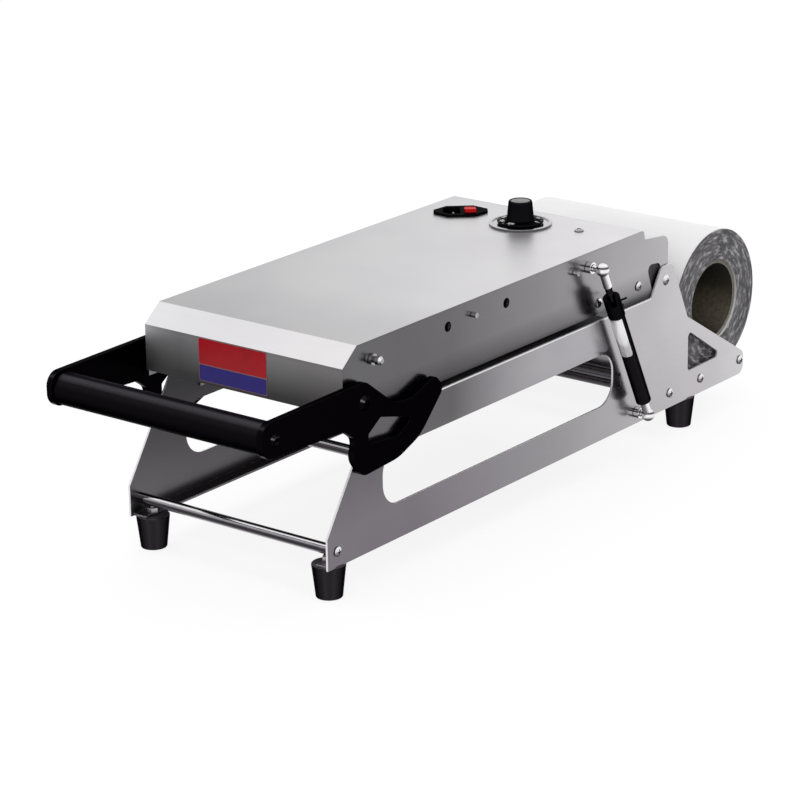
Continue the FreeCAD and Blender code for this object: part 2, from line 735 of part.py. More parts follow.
def rod_end_screws_at(places):
    screws = []
    for sign in (1, -1):
        for run, height in places:
            screws.append(cross_screw(sign * float(FRAME_SIDE), run, height, X_AXIS * sign,
                                      float(s.screw_radius),
                                      float(s.screw_length), float(s.screw_head_radius),
                                      float(s.screw_head_height)))
    return screws


def frustum(axis_from, axis_to, radius, bore=0):
    """A tube or bar between two points."""
    direction = axis_to - axis_from
    solid = Part.makeCylinder(radius, direction.Length, axis_from, direction)
    if bore:
        solid = solid.cut(Part.makeCylinder(bore, direction.Length, axis_from, direction))
    return solid


# Side plates: one sheet each, with a long slot, a window, a hinge post and an inward flange for the feet
PLATE_OUTLINE = (
    (size(0), size(0)),
    (size(0), s.front_edge_height),
    (s.front_slope_run, s.plate_height),
    (POST_FOOT, s.plate_height),
    (POST_FRONT, POST_TOP, s.post_rounding),
    (POST_REAR, POST_TOP, s.post_rounding),
    (KNEE_RUN, s.knee_height),
    (s.plate_length, s.tail_height, s.tail_rounding),
    (s.plate_length, size(0), s.tail_rounding),
)
SLOT = (
    (s.slot_front, s.slot_low, s.slot_rounding),
    (s.slot_rear, s.slot_low, s.slot_rounding),
    (s.slot_rear, SLOT_HIGH, s.slot_rounding),
    (s.slot_front, SLOT_HIGH, s.slot_rounding),
)
WINDOW = (
    (WINDOW_FRONT, s.window_low, s.window_rounding),
    (WINDOW_REAR, WINDOW_REAR_HEIGHT, s.window_rounding),
    (WINDOW_FRONT, WINDOW_HIGH, s.window_rounding),
)
ROD_PLACES = (
    (s.front_rod_run, s.front_rod_height),
    (REAR_ROD_RUN, s.rear_rod_height),
    (CRADLE_FRONT, s.cradle_height),
    (CRADLE_REAR, s.cradle_height),
)
plate_holes = [(run, height, s.screw_radius + s.seat_gap) for run, height in ROD_PLACES]
plate_holes.append((LATCH_RUN, LATCH_HEIGHT, s.rod_radius + s.seat_gap))
plate_holes.append((s.hinge_run, HINGE_HEIGHT, s.hinge_pin_radius + s.seat_gap))
plate_holes.append((s.guide_run, s.guide_low_height, s.guide_journal_radius + s.running_gap))
plate_holes.append((s.guide_run, s.guide_high_height, s.guide_journal_radius + s.running_gap))
spring_hole = (SPRING_LOW_RUN, s.spring_low_height, s.ball_thread_radius + s.seat_gap)

for word, sign in SIDES:
    holes = plate_holes + ([spring_hole] if sign > 0 else [])
    side_plate = sheet_piece(word + "_side_plate", "YZ_Plane", PLATE_OUTLINE, s.plate_gauge, (SLOT, WINDOW),
                             holes)
    inner = size(0) if sign > 0 else s.plate_gauge
    reach_in = s.flange_width - s.plate_gauge
    flange_sketch = sketch_on(side_plate, "XY_Plane", word + "_flange")
    flange_from = inner - reach_in if sign > 0 else inner
    flange_to = flange_from + reach_in
    front, rear = s.flange_inset, s.plate_length - s.tail_rounding - s.flange_inset
    draw_outline(flange_sketch,
                 ((flange_from, front), (flange_to, front), (flange_to, rear), (flange_from, rear)))
    foot_across = (FOOT_SIDE - FRAME_INSIDE) if sign > 0 else (FRAME_SIDE - FOOT_SIDE)
    for foot_run in (s.foot_front, FOOT_REAR):
        draw_circle(flange_sketch, foot_across, foot_run, s.foot_bolt_radius + s.seat_gap)
    pad(side_plate, flange_sketch, s.plate_gauge)
    keep(place(side_plate, FRAME_INSIDE if sign > 0 else -FRAME_SIDE))

# Feet: tapered rubber, each with a well for its bolt
feet = []
foot_bolts = []
for word, sign in SIDES:
    for place_word, run in (("front", s.foot_front), ("rear", FOOT_REAR)):
        name = "%s_%s_foot" % (place_word, word)
        side = sign * FOOT_SIDE
        rubber = cone(name + "_rubber", s.foot_low_radius, s.foot_top_radius, s.foot_height, side, run,
                      -s.foot_height)
        well = rod(name + "_well", s.foot_well_radius, s.foot_well_depth, side, run, -s.foot_height, "z")
        hole = rod(name + "_hole", s.foot_bolt_radius + s.seat_gap, s.foot_height, side, run, -s.foot_height,
                   "z")
        feet.append(cut(name, rubber, well, hole))
        shank_low = s.foot_well_depth - s.foot_height
        head_low = shank_low - s.foot_bolt_head
        head = rod(name + "_bolt_head", s.foot_bolt_head_radius, s.foot_bolt_head, side, run, head_low, "z")
        shank_top = s.plate_gauge + s.foot_bolt_end
        shank = rod(name + "_bolt_shank", s.foot_bolt_radius, shank_top - shank_low, side, run, shank_low,
                    "z")
        foot_bolts.append(fused(name + "_bolt", head, shank))
        nut = doc.addObject("Part::Prism", name + "_nut_hexagon")
        nut.Polygon = 6
        bind(nut, Circumradius=s.foot_nut_radius, Height=s.foot_nut)
        place(nut, side, run, s.plate_gauge)
        bore = rod(name + "_nut_bore", s.foot_bolt_radius + s.seat_gap, s.foot_height, side, run, 0, "z")
        foot_bolts.append(cut(name + "_nut", nut, bore))
keep(group("rubber_feet", feet))
keep(group("foot_bolts", foot_bolts))

# Rods that tie the plates together, and the two fixed axles under the film roll
inside_width = FRAME_INSIDE * 2
screw_reach = s.screw_length - s.plate_gauge + s.side_gap
tapped = s.screw_radius + s.seat_gap
TIED = (
    ("front_tie_rod", s.rod_radius, s.front_rod_run, s.front_rod_height),
    ("rear_tie_rod", s.rod_radius, REAR_ROD_RUN, s.rear_rod_height),
    ("front_roll_axle", s.axle_radius, CRADLE_FRONT, s.cradle_height),
    ("rear_roll_axle", s.axle_radius, CRADLE_REAR, s.cradle_height),
)
for name, radius, run, height in TIED:
    bar = rod(name + "_bar", radius, inside_width, -FRAME_INSIDE, run, height)
    right_hole = rod(name + "_right_hole", tapped, screw_reach, FRAME_INSIDE - screw_reach, run, height)
    left_hole = rod(name + "_left_hole", tapped, screw_reach, -FRAME_INSIDE, run, height)
    keep(cut(name, bar, right_hole, left_hole))
keep(rod("latch_bar", s.rod_radius, s.frame_width, -FRAME_SIDE, LATCH_RUN, LATCH_HEIGHT))
keep(shaped("rod_end_screws",
            Part.Compound(rod_end_screws_at([(float(r), float(h)) for r, h in ROD_PLACES]))))

# Rollers under the film roll
roller_width = inside_width - s.roller_end_gap * 2
for name, run in (("front_roll_roller", CRADLE_FRONT), ("rear_roll_roller", CRADLE_REAR)):
    left = s.roller_end_gap - FRAME_INSIDE
    tube = rod(name + "_tube", s.roller_radius, roller_width, left, run, s.cradle_height)
    bore = rod(name + "_bore", s.axle_radius + s.running_gap, roller_width, left, run, s.cradle_height)
    keep(cut(name, tube, bore))

# Film roll: a card core and the wound film
core_radius = s.core_bore_radius + s.core_wall
core_solid = rod("film_core_solid", core_radius, CORE_SIDE * 2, -CORE_SIDE, ROLL_RUN, ROLL_HEIGHT)
core_bore = rod("film_core_bore", s.core_bore_radius, CORE_SIDE * 2, -CORE_SIDE, ROLL_RUN, ROLL_HEIGHT)
keep(cut("film_core", core_solid, core_bore))
film_solid = rod("film_solid", s.film_radius, FILM_SIDE * 2, -FILM_SIDE, ROLL_RUN, ROLL_HEIGHT)
film_bore = rod("film_bore", core_radius, FILM_SIDE * 2, -FILM_SIDE, ROLL_RUN, ROLL_HEIGHT)
keep(cut("film_winding", film_solid, film_bore))

# Film guide rollers: their journals turn in the side plates
guide_width = inside_width - s.side_gap * 2
for name, height in (("lower_guide_roller", s.guide_low_height), ("upper_guide_roller", s.guide_high_height)):
    barrel = rod(name + "_barrel", s.guide_radius, guide_width, s.side_gap - FRAME_INSIDE, s.guide_run,
                 height)
    journal = rod(name + "_journal", s.guide_journal_radius, s.frame_width, -FRAME_SIDE, s.guide_run, height)
    keep(fused(name, barrel, journal))

# Rear cross panel with a flange against each side plate
panel_tall = BACK_PANEL_HIGH - s.back_panel_low
web = block("cross_panel_web", inside_width, s.shell_gauge, panel_tall, -FRAME_INSIDE, s.back_panel_run,
            s.back_panel_low)
left_flange = block("cross_panel_left", s.shell_gauge, s.back_flange, panel_tall, -FRAME_INSIDE,
                    s.back_panel_run, s.back_panel_low)
right_flange = block("cross_panel_right", s.shell_gauge, s.back_flange, panel_tall,
                     FRAME_INSIDE - s.shell_gauge, s.back_panel_run, s.back_panel_low)
keep(fused("rear_cross_panel", web, left_flange, right_flange))

# Mould rails: angles on the side plates that carry the mould
rail_length = RAIL_REAR - RAIL_FRONT
for word, sign in SIDES:
    outer = FRAME_INSIDE - s.plate_gauge if sign > 0 else -FRAME_INSIDE
    ledge_from = FRAME_INSIDE - s.rail_width if sign > 0 else -FRAME_INSIDE
    rail_low = MOULD_LOW - s.rail_height
    wall = block(word + "_rail_wall", s.plate_gauge, rail_length, s.rail_height, outer, RAIL_FRONT, rail_low)
    ledge = block(word + "_rail_ledge", s.rail_width, rail_length, s.plate_gauge, ledge_from, RAIL_FRONT,
                  MOULD_LOW - s.plate_gauge)
    keep(fused(word + "_mould_rail", wall, ledge))

# Mould: a plate with the tray opening and a rebate for its gasket
MOULD_OUTLINE = (
    (-MOULD_SIDE, s.mould_front, s.mould_rounding),
    (MOULD_SIDE, s.mould_front, s.mould_rounding),
    (MOULD_SIDE, s.mould_rear, s.mould_rounding),
    (-MOULD_SIDE, s.mould_rear, s.mould_rounding),
)


def tray_corners(grow, rounding):
    return (
        (-TRAY_SIDE - grow, TRAY_FRONT - grow, rounding),
        (TRAY_SIDE + grow, TRAY_FRONT - grow, rounding),
        (TRAY_SIDE + grow, TRAY_REAR + grow, rounding),
        (-TRAY_SIDE - grow, TRAY_REAR + grow, rounding),
    )


tray_opening = tray_corners(size(0), s.tray_rounding)
gasket_outline = tray_corners(s.gasket_width, s.tray_rounding + s.gasket_width)
mould_blank = sheet_piece("mould_blank", "XY_Plane", MOULD_OUTLINE, s.mould_thickness, (tray_opening,))
place(mould_blank, 0, 0, MOULD_LOW)
rebate = sheet_piece("mould_rebate", "XY_Plane", gasket_outline, s.mould_thickness)
place(rebate, 0, 0, MOULD_TOP - s.gasket_seat)
keep(cut("tray_mould", mould_blank, rebate))
gasket = sheet_piece("mould_gasket", "XY_Plane", gasket_outline, s.gasket_seat + s.gasket_proud,
                     (tray_opening,))
keep(place(gasket, 0, 0, MOULD_TOP - s.gasket_seat))

# Head cover: one folded sheet, front face, chamfer and top
gauge = s.shell_gauge
COVER_PROFILE = (
    (s.head_front, COVER_LOW),
    (s.head_front, CHAMFER_LOW),
    (s.head_front + s.chamfer_run, HEAD_TOP),
    (HEAD_REAR, HEAD_TOP),
    (HEAD_REAR, COVER_INSIDE),
    (s.head_front + s.chamfer_run + gauge / 3, COVER_INSIDE),
    (s.head_front + gauge, CHAMFER_LOW - gauge / 2),
    (s.head_front + gauge, COVER_LOW),
)
cover_sheet = sheet_piece("cover_sheet", "YZ_Plane", COVER_PROFILE, HEAD_WIDTH)
place(cover_sheet, -HEAD_SIDE)
neck_hole = rod("cover_neck_hole", s.thermostat_neck_radius + s.seat_gap, HEAD_TOP, s.dial_side, DIAL_RUN, 0,
                "z")
screw_hole = rod("cover_screw_hole", s.screw_radius + s.seat_gap, HEAD_TOP, s.cover_screw_side,
                 COVER_SCREW_RUN, 0, "z")


def octagon(length, width, cut_off):
    """A rectangle about the middle with its corners cut off."""
    half_long = length / 2
    half_wide = width / 2
    return (
        (-half_long + cut_off, -half_wide),
        (half_long - cut_off, -half_wide),
        (half_long, -half_wide + cut_off),
        (half_long, half_wide - cut_off),
        (half_long - cut_off, half_wide),
        (-half_long + cut_off, half_wide),
        (-half_long, half_wide - cut_off),
        (-half_long, -half_wide + cut_off),
    )


body_room = octagon(s.inlet_body_length + s.side_gap, s.inlet_body_width + s.side_gap, s.inlet_body_cut)
inlet_hole = sheet_piece("cover_inlet_hole", "XY_Plane", body_room, HEAD_TOP)


def place_on_inlet(thing, along, across, height, tip=0):
    """Puts a thing's own origin at a place in the inlet's turned axes, tipped about the inlet's long side."""
    turn = "(%s * 1 deg)" % s.inlet_angle.formula
    angle = math.radians(float(s.inlet_angle))
    cosine = Size(math.cos(angle), "cos(%s)" % turn)
    sine = Size(math.sin(angle), "sin(%s)" % turn)
    along = size(along)
    across = size(across)
    place(thing, s.inlet_side + along * cosine - across * sine, INLET_RUN + along * sine + across * cosine,
          height)
    tipped = FreeCAD.Rotation(X_AXIS, float(tip))
    thing.Placement.Rotation = FreeCAD.Rotation(Z_AXIS, float(s.inlet_angle)).multiply(tipped)
    return thing


place_on_inlet(inlet_hole, 0, 0, 0)
keep(cut("head_cover", cover_sheet, neck_hole, screw_hole, inlet_hole))

# Head sides: each reaches back and down to the hinge, with a notch beside the post
panel_top = COVER_INSIDE
PANEL_OUTLINE = (
    (s.head_front + gauge, PANEL_LOW),
    (s.head_front + gauge, CHAMFER_LOW - gauge / 2),
    (s.head_front + s.chamfer_run + gauge / 3, panel_top),
    (PANEL_STEP_RUN, panel_top),
    (PANEL_STEP_RUN + gauge, PANEL_STEP_TOP),
    (PANEL_REAR, PANEL_TAB_TOP, s.panel_tab_rounding),
    (PANEL_REAR, PANEL_HINGE_LOW, s.panel_low_rounding),
    (PANEL_DROP_RUN, PANEL_HINGE_LOW, s.panel_low_rounding),
    (PANEL_DROP_RUN, PANEL_LOW),
)
NOTCH = (
    (s.hinge_run - s.notch_front_ahead, HINGE_HEIGHT + s.notch_front_rise, s.notch_rounding),
    (s.hinge_run - s.notch_rear_ahead, HINGE_HEIGHT + s.notch_rear_rise, s.notch_rounding),
    (s.hinge_run - s.notch_foot_rear, HINGE_HEIGHT - s.notch_drop, s.notch_foot_rounding),
    (s.hinge_run - s.notch_foot_front, HINGE_HEIGHT - s.notch_drop, s.notch_foot_rounding),
)
brace_places = ((BRACE_FRONT, BRACE_HEIGHT), (BRACE_REAR, BRACE_HEIGHT))
stud_places = ((s.stud_front, STUD_HEIGHT), (s.stud_rear, STUD_HEIGHT))
cross_holes = ((s.stop_run, STOP_HEIGHT), *stud_places)
panel_holes = [(s.vent_front, VENT_HEIGHT, s.vent_radius), (s.vent_rear, VENT_HEIGHT, s.vent_radius)]
panel_holes += [(run, height, s.stud_radius + s.seat_gap) for run, height in (*cross_holes, *brace_places)]
panel_holes.append((s.hinge_run, HINGE_HEIGHT, s.hinge_bush_radius + s.seat_gap))
panel_holes.append((s.pivot_run, PIVOT_HEIGHT, s.pivot_radius + s.seat_gap))
upper_hole = (s.spring_top_run, SPRING_TOP_HEIGHT, s.ball_thread_radius + s.seat_gap)
for word, sign in SIDES:
    holes = panel_holes + ([upper_hole] if sign > 0 else [])
    panel = sheet_piece(word + "_head_panel", "YZ_Plane", PANEL_OUTLINE, gauge, (NOTCH,), holes)
    keep(place(panel, HEAD_INSIDE if sign > 0 else -HEAD_SIDE))

# Head rear panel, between the sides
rear_tall = COVER_INSIDE - BACK_COVER_LOW
keep(block("head_rear_panel", HEAD_INSIDE * 2, gauge, rear_tall, -HEAD_INSIDE, HEAD_REAR - gauge,
           BACK_COVER_LOW))

# Hinge: a bush in each head side turns on a pin in each post
hinge_bushes = []
hinge_pins = []
bush_inside = HEAD_SIDE - s.hinge_bush_length
for word, sign in SIDES:
    bush_from = bush_inside if sign > 0 else -HEAD_SIDE - s.seat_gap
    sleeve = rod(word + "_bush_sleeve", s.hinge_bush_radius, s.hinge_bush_length + s.seat_gap, bush_from,
                 s.hinge_run, HINGE_HEIGHT)
    collar_from = bush_inside if sign > 0 else -bush_inside - gauge
    collar = rod(word + "_bush_collar", s.hinge_collar_radius, gauge, collar_from, s.hinge_run, HINGE_HEIGHT)
    bore = rod(word + "_bush_bore", s.hinge_pin_radius + s.running_gap, s.frame_width, -FRAME_SIDE,
               s.hinge_run, HINGE_HEIGHT)
    hinge_bushes.append(cut(word + "_bush", fused(word + "_bush_solid", sleeve, collar), bore))
    shank = float(FRAME_SIDE - bush_inside)
    hinge_pins.append(cross_screw(sign * float(FRAME_SIDE), float(s.hinge_run), float(HINGE_HEIGHT),
                                  X_AXIS * sign,
                                  float(s.hinge_pin_radius), shank, float(s.hinge_pin_head_radius),
                                  float(s.hinge_pin_head)))
keep(group("hinge_bushes", hinge_bushes))
keep(shaped("hinge_pins", Part.Compound(hinge_pins)))

# Screws and studs on the head's sides
panel_screws = []
for sign in (1, -1):
    for run, height in brace_places:
        panel_screws.append(cross_screw(sign * float(HEAD_SIDE), float(run), float(height), X_AXIS * sign,
                                        float(s.stud_radius), float(gauge + s.bridge_gauge),
                                        float(s.screw_head_radius), float(s.screw_head_height)))
keep(shaped("panel_screws", Part.Compound(panel_screws)))
studs = []
for word, sign in SIDES:
    for number, (run, height) in enumerate(stud_places):
        stud_long = s.stud_length + gauge + s.bridge_gauge
        stud_from = HEAD_INSIDE - s.bridge_gauge if sign > 0 else -HEAD_SIDE - s.stud_length
        studs.append(rod("%s_stud_%d" % (word, number), s.stud_radius, stud_long, stud_from, run, height))
keep(group("panel_studs", studs))

# Stop studs for the handle: a seated stud with a bevelled round head, one each side
stops = []
for word, sign in SIDES:
    outward = X_AXIS * sign
    seat = vector(HEAD_SIDE * sign, s.stop_run, STOP_HEIGHT)
    stop_end = seat + outward * float(s.stop_reach)
    head_start = stop_end - outward * float(s.stop_head)
    bevel = float(s.stop_bevel)
    full_start = head_start + outward * bevel
    full_end = stop_end - outward * bevel
    stop = frustum(seat - outward * float(gauge + s.bridge_gauge), head_start, float(s.stud_radius))
    stop = stop.fuse(frustum(seat, seat + outward * float(s.stop_nut), float(s.stop_nut_radius)))
    head_radius = float(s.stop_head_radius)
    stop = stop.fuse(Part.makeCone(float(s.stud_radius), head_radius, bevel, head_start, outward))
    stop = stop.fuse(frustum(full_start, full_end, head_radius))
    tip = Part.makeCone(head_radius, float(s.stop_tip_radius), bevel, full_end, outward)
    stops.append(stop.fuse(tip))
keep(shaped("stop_studs", Part.Compound(stops)))

# Braces between the sides and the bridge, and cheeks behind the notches that steady the hinge bushes
braces = []
brace_tall = s.brace_reach * 2
for word, sign in SIDES:
    brace_from = HEAD_INSIDE - s.bridge_gauge if sign > 0 else -HEAD_INSIDE
    plate = block(word + "_brace_plate", s.bridge_gauge, BRACE_REAR - BRACE_FRONT + s.brace_end, brace_tall,
                  brace_from, BRACE_FRONT - s.brace_end, BRACE_HEIGHT - s.brace_reach)
    bores = [rod("%s_brace_bore_%d" % (word, number), s.stud_radius + s.seat_gap, s.bridge_gauge, brace_from,
                 run, height) for number, (run, height) in enumerate(brace_places)]
    braces.append(cut(word + "_brace", plate, *bores))
    cheek = block(word + "_cheek_plate", s.bridge_gauge, PANEL_REAR - gauge - HEAD_REAR, s.cheek_tall,
                  brace_from, HEAD_REAR, PANEL_HINGE_LOW + gauge)
    cheek_bore = rod(word + "_cheek_bore", s.hinge_bush_radius + s.seat_gap, s.bridge_gauge, brace_from,
                     s.hinge_run, HINGE_HEIGHT)
    braces.append(cut(word + "_cheek", cheek, cheek_bore))
keep(group("hinge_braces", braces))

# Inner bridge: a channel between the head's sides that carries the heating plate
hanger_places = [(sign * HANGER_SIDE, run) for sign in (1, -1)
                 for run in (HEATER_FRONT + s.hanger_inset, HEATER_REAR - s.hanger_inset)]
bridge_tall = BRIDGE_HIGH - BRIDGE_LOW
bridge_long = BRIDGE_REAR - s.bridge_front
floor = block("bridge_floor", HEAD_INSIDE * 2, BRIDGE_REAR - BRIDGE_FLOOR_FRONT, s.bridge_gauge, -HEAD_INSIDE,
              BRIDGE_FLOOR_FRONT, BRIDGE_LOW)
wall_right = block("bridge_right", s.bridge_gauge, bridge_long, bridge_tall, HEAD_INSIDE - s.bridge_gauge,
                   s.bridge_front, BRIDGE_LOW)
wall_left = block("bridge_left", s.bridge_gauge, bridge_long, bridge_tall, -HEAD_INSIDE, s.bridge_front,
                  BRIDGE_LOW)
bridge_bores = [rod("bridge_hanger_%d" % number, s.hanger_radius + s.seat_gap, HEAD_TOP, side, run, 0, "z")
                for number, (side, run) in enumerate(hanger_places)]
bridge_bores += [rod("bridge_bore_%d" % number, s.stud_radius + s.seat_gap, HEAD_WIDTH, -HEAD_SIDE, run,
                     height)
                 for number, (run, height) in enumerate(cross_holes)]
bridge_bores += [rod("bridge_vent_%d" % number, s.vent_radius, HEAD_WIDTH, -HEAD_SIDE, run, VENT_HEIGHT)
                 for number, run in enumerate((s.vent_front, s.vent_rear))]
bridge_bores.append(rod("bridge_spring", s.ball_nut_radius + s.ball_nut_room, HEAD_WIDTH, 0, s.spring_top_run,
                        SPRING_TOP_HEIGHT))
keep(cut("head_bridge", fused("bridge_channel", floor, wall_right, wall_left), *bridge_bores))

# Heating plate with its rods, release sheet, insulation and hanging bolts
heater_long = HEATER_REAR - HEATER_FRONT
slab = block("heater_slab", HEATER_WIDTH, heater_long, s.heater_thickness, -HEATER_SIDE, HEATER_FRONT,
             HEATER_LOW)
heater_mid = HEATER_LOW + s.heater_thickness / 2
heater_bores = []
heater_rods = []
for number, side in enumerate((-s.heater_rod_side, s.heater_rod_side)):
    start = HEATER_REAR - s.heater_rod_length
    heater_bores.append(rod("heater_bore_%d" % number, s.heater_rod_radius + s.seat_gap, s.heater_rod_length,
                            side, start, heater_mid, "y"))
    heater_rods.append(rod("heater_rod_%d" % number, s.heater_rod_radius,
                           s.heater_rod_length + s.heater_rod_tail, side, start, heater_mid, "y"))
sensor_start = HEATER_REAR - s.sensor_length
heater_bores.append(rod("sensor_bore", s.sensor_radius + s.seat_gap, s.sensor_length, s.dial_side,
                        sensor_start, heater_mid, "y"))
heater_bores += [rod("heater_tapped_%d" % number, s.hanger_radius + s.seat_gap, s.hanger_depth, side, run,
                     HEATER_TOP - s.hanger_depth, "z") for number, (side, run) in enumerate(hanger_places)]
keep(cut("heating_plate", slab, *heater_bores))
keep(group("heater_rods", heater_rods))
keep(block("release_sheet", HEATER_WIDTH, heater_long, s.release_gauge, -HEATER_SIDE, HEATER_FRONT,
           RELEASE_LOW))
pad_slab = block("pad_slab", HEATER_WIDTH - s.pad_inset * 2, heater_long - s.pad_inset * 2, s.pad_thickness,
                 -HEATER_SIDE + s.pad_inset, HEATER_FRONT + s.pad_inset, HEATER_TOP)
pad_bores = [rod("pad_bore_%d" % number, s.hanger_radius + s.seat_gap, s.pad_thickness, side, run, HEATER_TOP,
                 "z")
             for number, (side, run) in enumerate(hanger_places)]
keep(cut("insulation_pad", pad_slab, *pad_bores))
hanging_bolts = []
bridge_top = BRIDGE_LOW + s.bridge_gauge
for number, (side, run) in enumerate(hanger_places):
    low = HEATER_TOP - s.hanger_depth
    shank = rod("hanger_shank_%d" % number, s.hanger_radius, bridge_top - low, side, run, low, "z")
    head = rod("hanger_head_%d" % number, s.hanger_head_radius, s.hanger_head, side, run, bridge_top, "z")
    hanging_bolts.append(fused("hanger_%d" % number, shank, head))
    sleeve = rod("sleeve_solid_%d" % number, s.hanger_sleeve_radius, BRIDGE_LOW - PAD_TOP, side, run, PAD_TOP,
                 "z")
    bore = rod("sleeve_bore_%d" % number, s.hanger_radius + s.seat_gap, BRIDGE_LOW - PAD_TOP, side, run,
               PAD_TOP, "z")
    hanging_bolts.append(cut("sleeve_%d" % number, sleeve, bore))
keep(group("hanging_bolts", hanging_bolts))

# Knife: a thin frame round the heating plate, hung from the bridge, with a toothed edge
knife_low = MOULD_TOP + s.knife_lift
knife_tall = BRIDGE_LOW - knife_low
knife_out = s.knife_gap + s.knife_gauge
outer_box = Part.makeBox(float(HEATER_WIDTH + knife_out * 2), float(heater_long + knife_out * 2),
                         float(knife_tall),
                         vector(-HEATER_SIDE - knife_out, HEATER_FRONT - knife_out, knife_low))
inner_box = Part.makeBox(float(HEATER_WIDTH + s.knife_gap * 2), float(heater_long + s.knife_gap * 2),
                         float(knife_tall), vector(-HEATER_SIDE - s.knife_gap, HEATER_FRONT - s.knife_gap,
                                                   knife_low))
knife_holes = [Part.makeCylinder(float(s.heater_rod_radius + s.knife_hole_gap), float(s.heater_rod_tail),
                                 vector(sign * s.heater_rod_side, HEATER_REAR, heater_mid), Y_AXIS)
               for sign in (1, -1)]
knife_holes.append(Part.makeCylinder(float(s.capillary_radius + s.knife_hole_gap), float(s.heater_rod_tail),
                                     vector(s.dial_side, HEATER_REAR, heater_mid), Y_AXIS))
knife = outer_box.cut(inner_box).cut(knife_holes)
pitch = float(s.knife_teeth_pitch)
depth = float(s.knife_teeth_depth)


def tooth_gaps(start, end):
    """Middles of the gaps between teeth, evenly spaced from start to end."""
    count = int((end - start) / pitch)
    return [(start + end) / 2 + (number - (count - 1) / 2) * pitch for number in range(count)]


def tooth_gap(along, across, length):
    """A long V-shaped prism that cuts one gap through both opposite blades."""
    half = float(s.knife_teeth_gap)
    points = [along * -half, Z_AXIS * depth, along * half, along * -half]
    wedge = Part.Face(Part.makePolygon(points))
    return wedge.extrude(across * length)


across_width = float(HEATER_WIDTH + knife_out * 2)
along_length = float(heater_long + knife_out * 2)
gaps = []
for middle in tooth_gaps(float(HEATER_FRONT), float(HEATER_REAR)):
    gap = tooth_gap(Y_AXIS, X_AXIS, across_width)
    gap.translate(FreeCAD.Vector(float(-HEATER_SIDE - knife_out), middle, float(knife_low)))
    gaps.append(gap)
for middle in tooth_gaps(float(-HEATER_SIDE), float(HEATER_SIDE)):
    gap = tooth_gap(X_AXIS, Y_AXIS, along_length)
    gap.translate(FreeCAD.Vector(middle, float(HEATER_FRONT - knife_out), float(knife_low)))
    gaps.append(gap)
keep(shaped("knife_frame", knife.cut(gaps)))

# Thermostat under the dial, its sensor in the heating plate and the capillary between them
thermo_low = COVER_INSIDE - s.thermostat_height
case = block("thermostat_case", s.thermostat_width, s.thermostat_length, s.thermostat_height,
             s.dial_side - s.thermostat_width / 2, DIAL_RUN - s.thermostat_length / 2, thermo_low)
neck = rod("thermostat_neck", s.thermostat_neck_radius, s.thermostat_height + gauge, s.dial_side, DIAL_RUN,
           thermo_low, "z")
neck_bore = rod("thermostat_bore", s.spindle_radius + s.running_gap, s.thermostat_height + gauge, s.dial_side,
                DIAL_RUN, thermo_low + s.spindle_reach, "z")
keep(cut("thermostat", fused("thermostat_solid", case, neck), neck_bore))
bend = float(s.capillary_bend)
side = float(s.dial_side)
low_point = FreeCAD.Vector(side, float(HEATER_REAR), float(heater_mid))
turn_point = FreeCAD.Vector(side, float(DIAL_RUN), float(heater_mid))
arc_start = turn_point - Y_AXIS * bend
arc_end = turn_point + Z_AXIS * bend
arc_centre = arc_start + Z_AXIS * bend
arc_middle = arc_centre + (Y_AXIS - Z_AXIS) * (bend / math.sqrt(2))
high_point = FreeCAD.Vector(side, float(DIAL_RUN), float(thermo_low))
route = Part.Wire([
    Part.LineSegment(low_point, arc_start).toShape(),
    Part.Arc(arc_start, arc_middle, arc_end).toShape(),
    Part.LineSegment(arc_end, high_point).toShape(),
])
ring = Part.Wire(Part.makeCircle(float(s.capillary_radius), low_point, Y_AXIS))
bulb = Part.makeCylinder(float(s.sensor_radius), float(s.sensor_length), low_point, Y_AXIS * -1)
keep(shaped("heat_sensor", route.makePipeShell([ring], True, True).fuse(bulb)))

# Dial, knob and spindle
disc = rod("dial_floor", s.dial_radius, s.dial_gauge + s.dial_rim, s.dial_side, DIAL_RUN, HEAD_TOP, "z")
hollow = rod("dial_hollow", s.dial_rim_radius, s.dial_rim, s.dial_side, DIAL_RUN, HEAD_TOP + s.dial_gauge,
             "z")
dial_hole = rod("dial_hole", s.thermostat_neck_radius + s.seat_gap, s.dial_gauge, s.dial_side, DIAL_RUN,
                HEAD_TOP, "z")
keep(cut("dial_disc", disc, hollow, dial_hole))
knob_low = HEAD_TOP + s.dial_gauge + s.knob_lift
KNOB_PROFILE = (
    (size(0), s.spindle_reach),
    (s.spindle_radius, s.spindle_reach),
    (s.spindle_radius, size(0)),
    (s.knob_skirt_radius, size(0)),
    (s.knob_skirt_radius, s.knob_skirt / 2),
    (s.knob_low_radius, s.knob_skirt),
    (s.knob_high_radius, s.knob_height - s.knob_rounding),
    (s.knob_high_radius - s.knob_rounding, s.knob_height),
    (size(0), s.knob_height),
)
knob = body("control_knob")
knob_sketch = sketch_on(knob, "XZ_Plane", "knob_profile")
draw_outline(knob_sketch, KNOB_PROFILE)
turned = knob.newObject("PartDesign::Revolution", "knob_turned")
turned.Profile = knob_sketch
turned.ReferenceAxis = (knob_sketch, ["V_Axis"])
turned.Angle = 360
keep(place(knob, s.dial_side, DIAL_RUN, knob_low))
spindle_low = thermo_low + s.spindle_reach + s.side_gap
keep(rod("knob_spindle", s.spindle_radius, knob_low + s.spindle_reach - spindle_low, s.dial_side, DIAL_RUN,
         spindle_low, "z"))
top_screw = cross_screw(float(s.cover_screw_side), float(COVER_SCREW_RUN), float(HEAD_TOP), Z_AXIS,
                        float(s.screw_radius), float(gauge + s.bridge_gauge), float(s.screw_head_radius),
                        float(s.screw_head_height))
keep(shaped("cover_screw", Part.Compound([top_screw])))

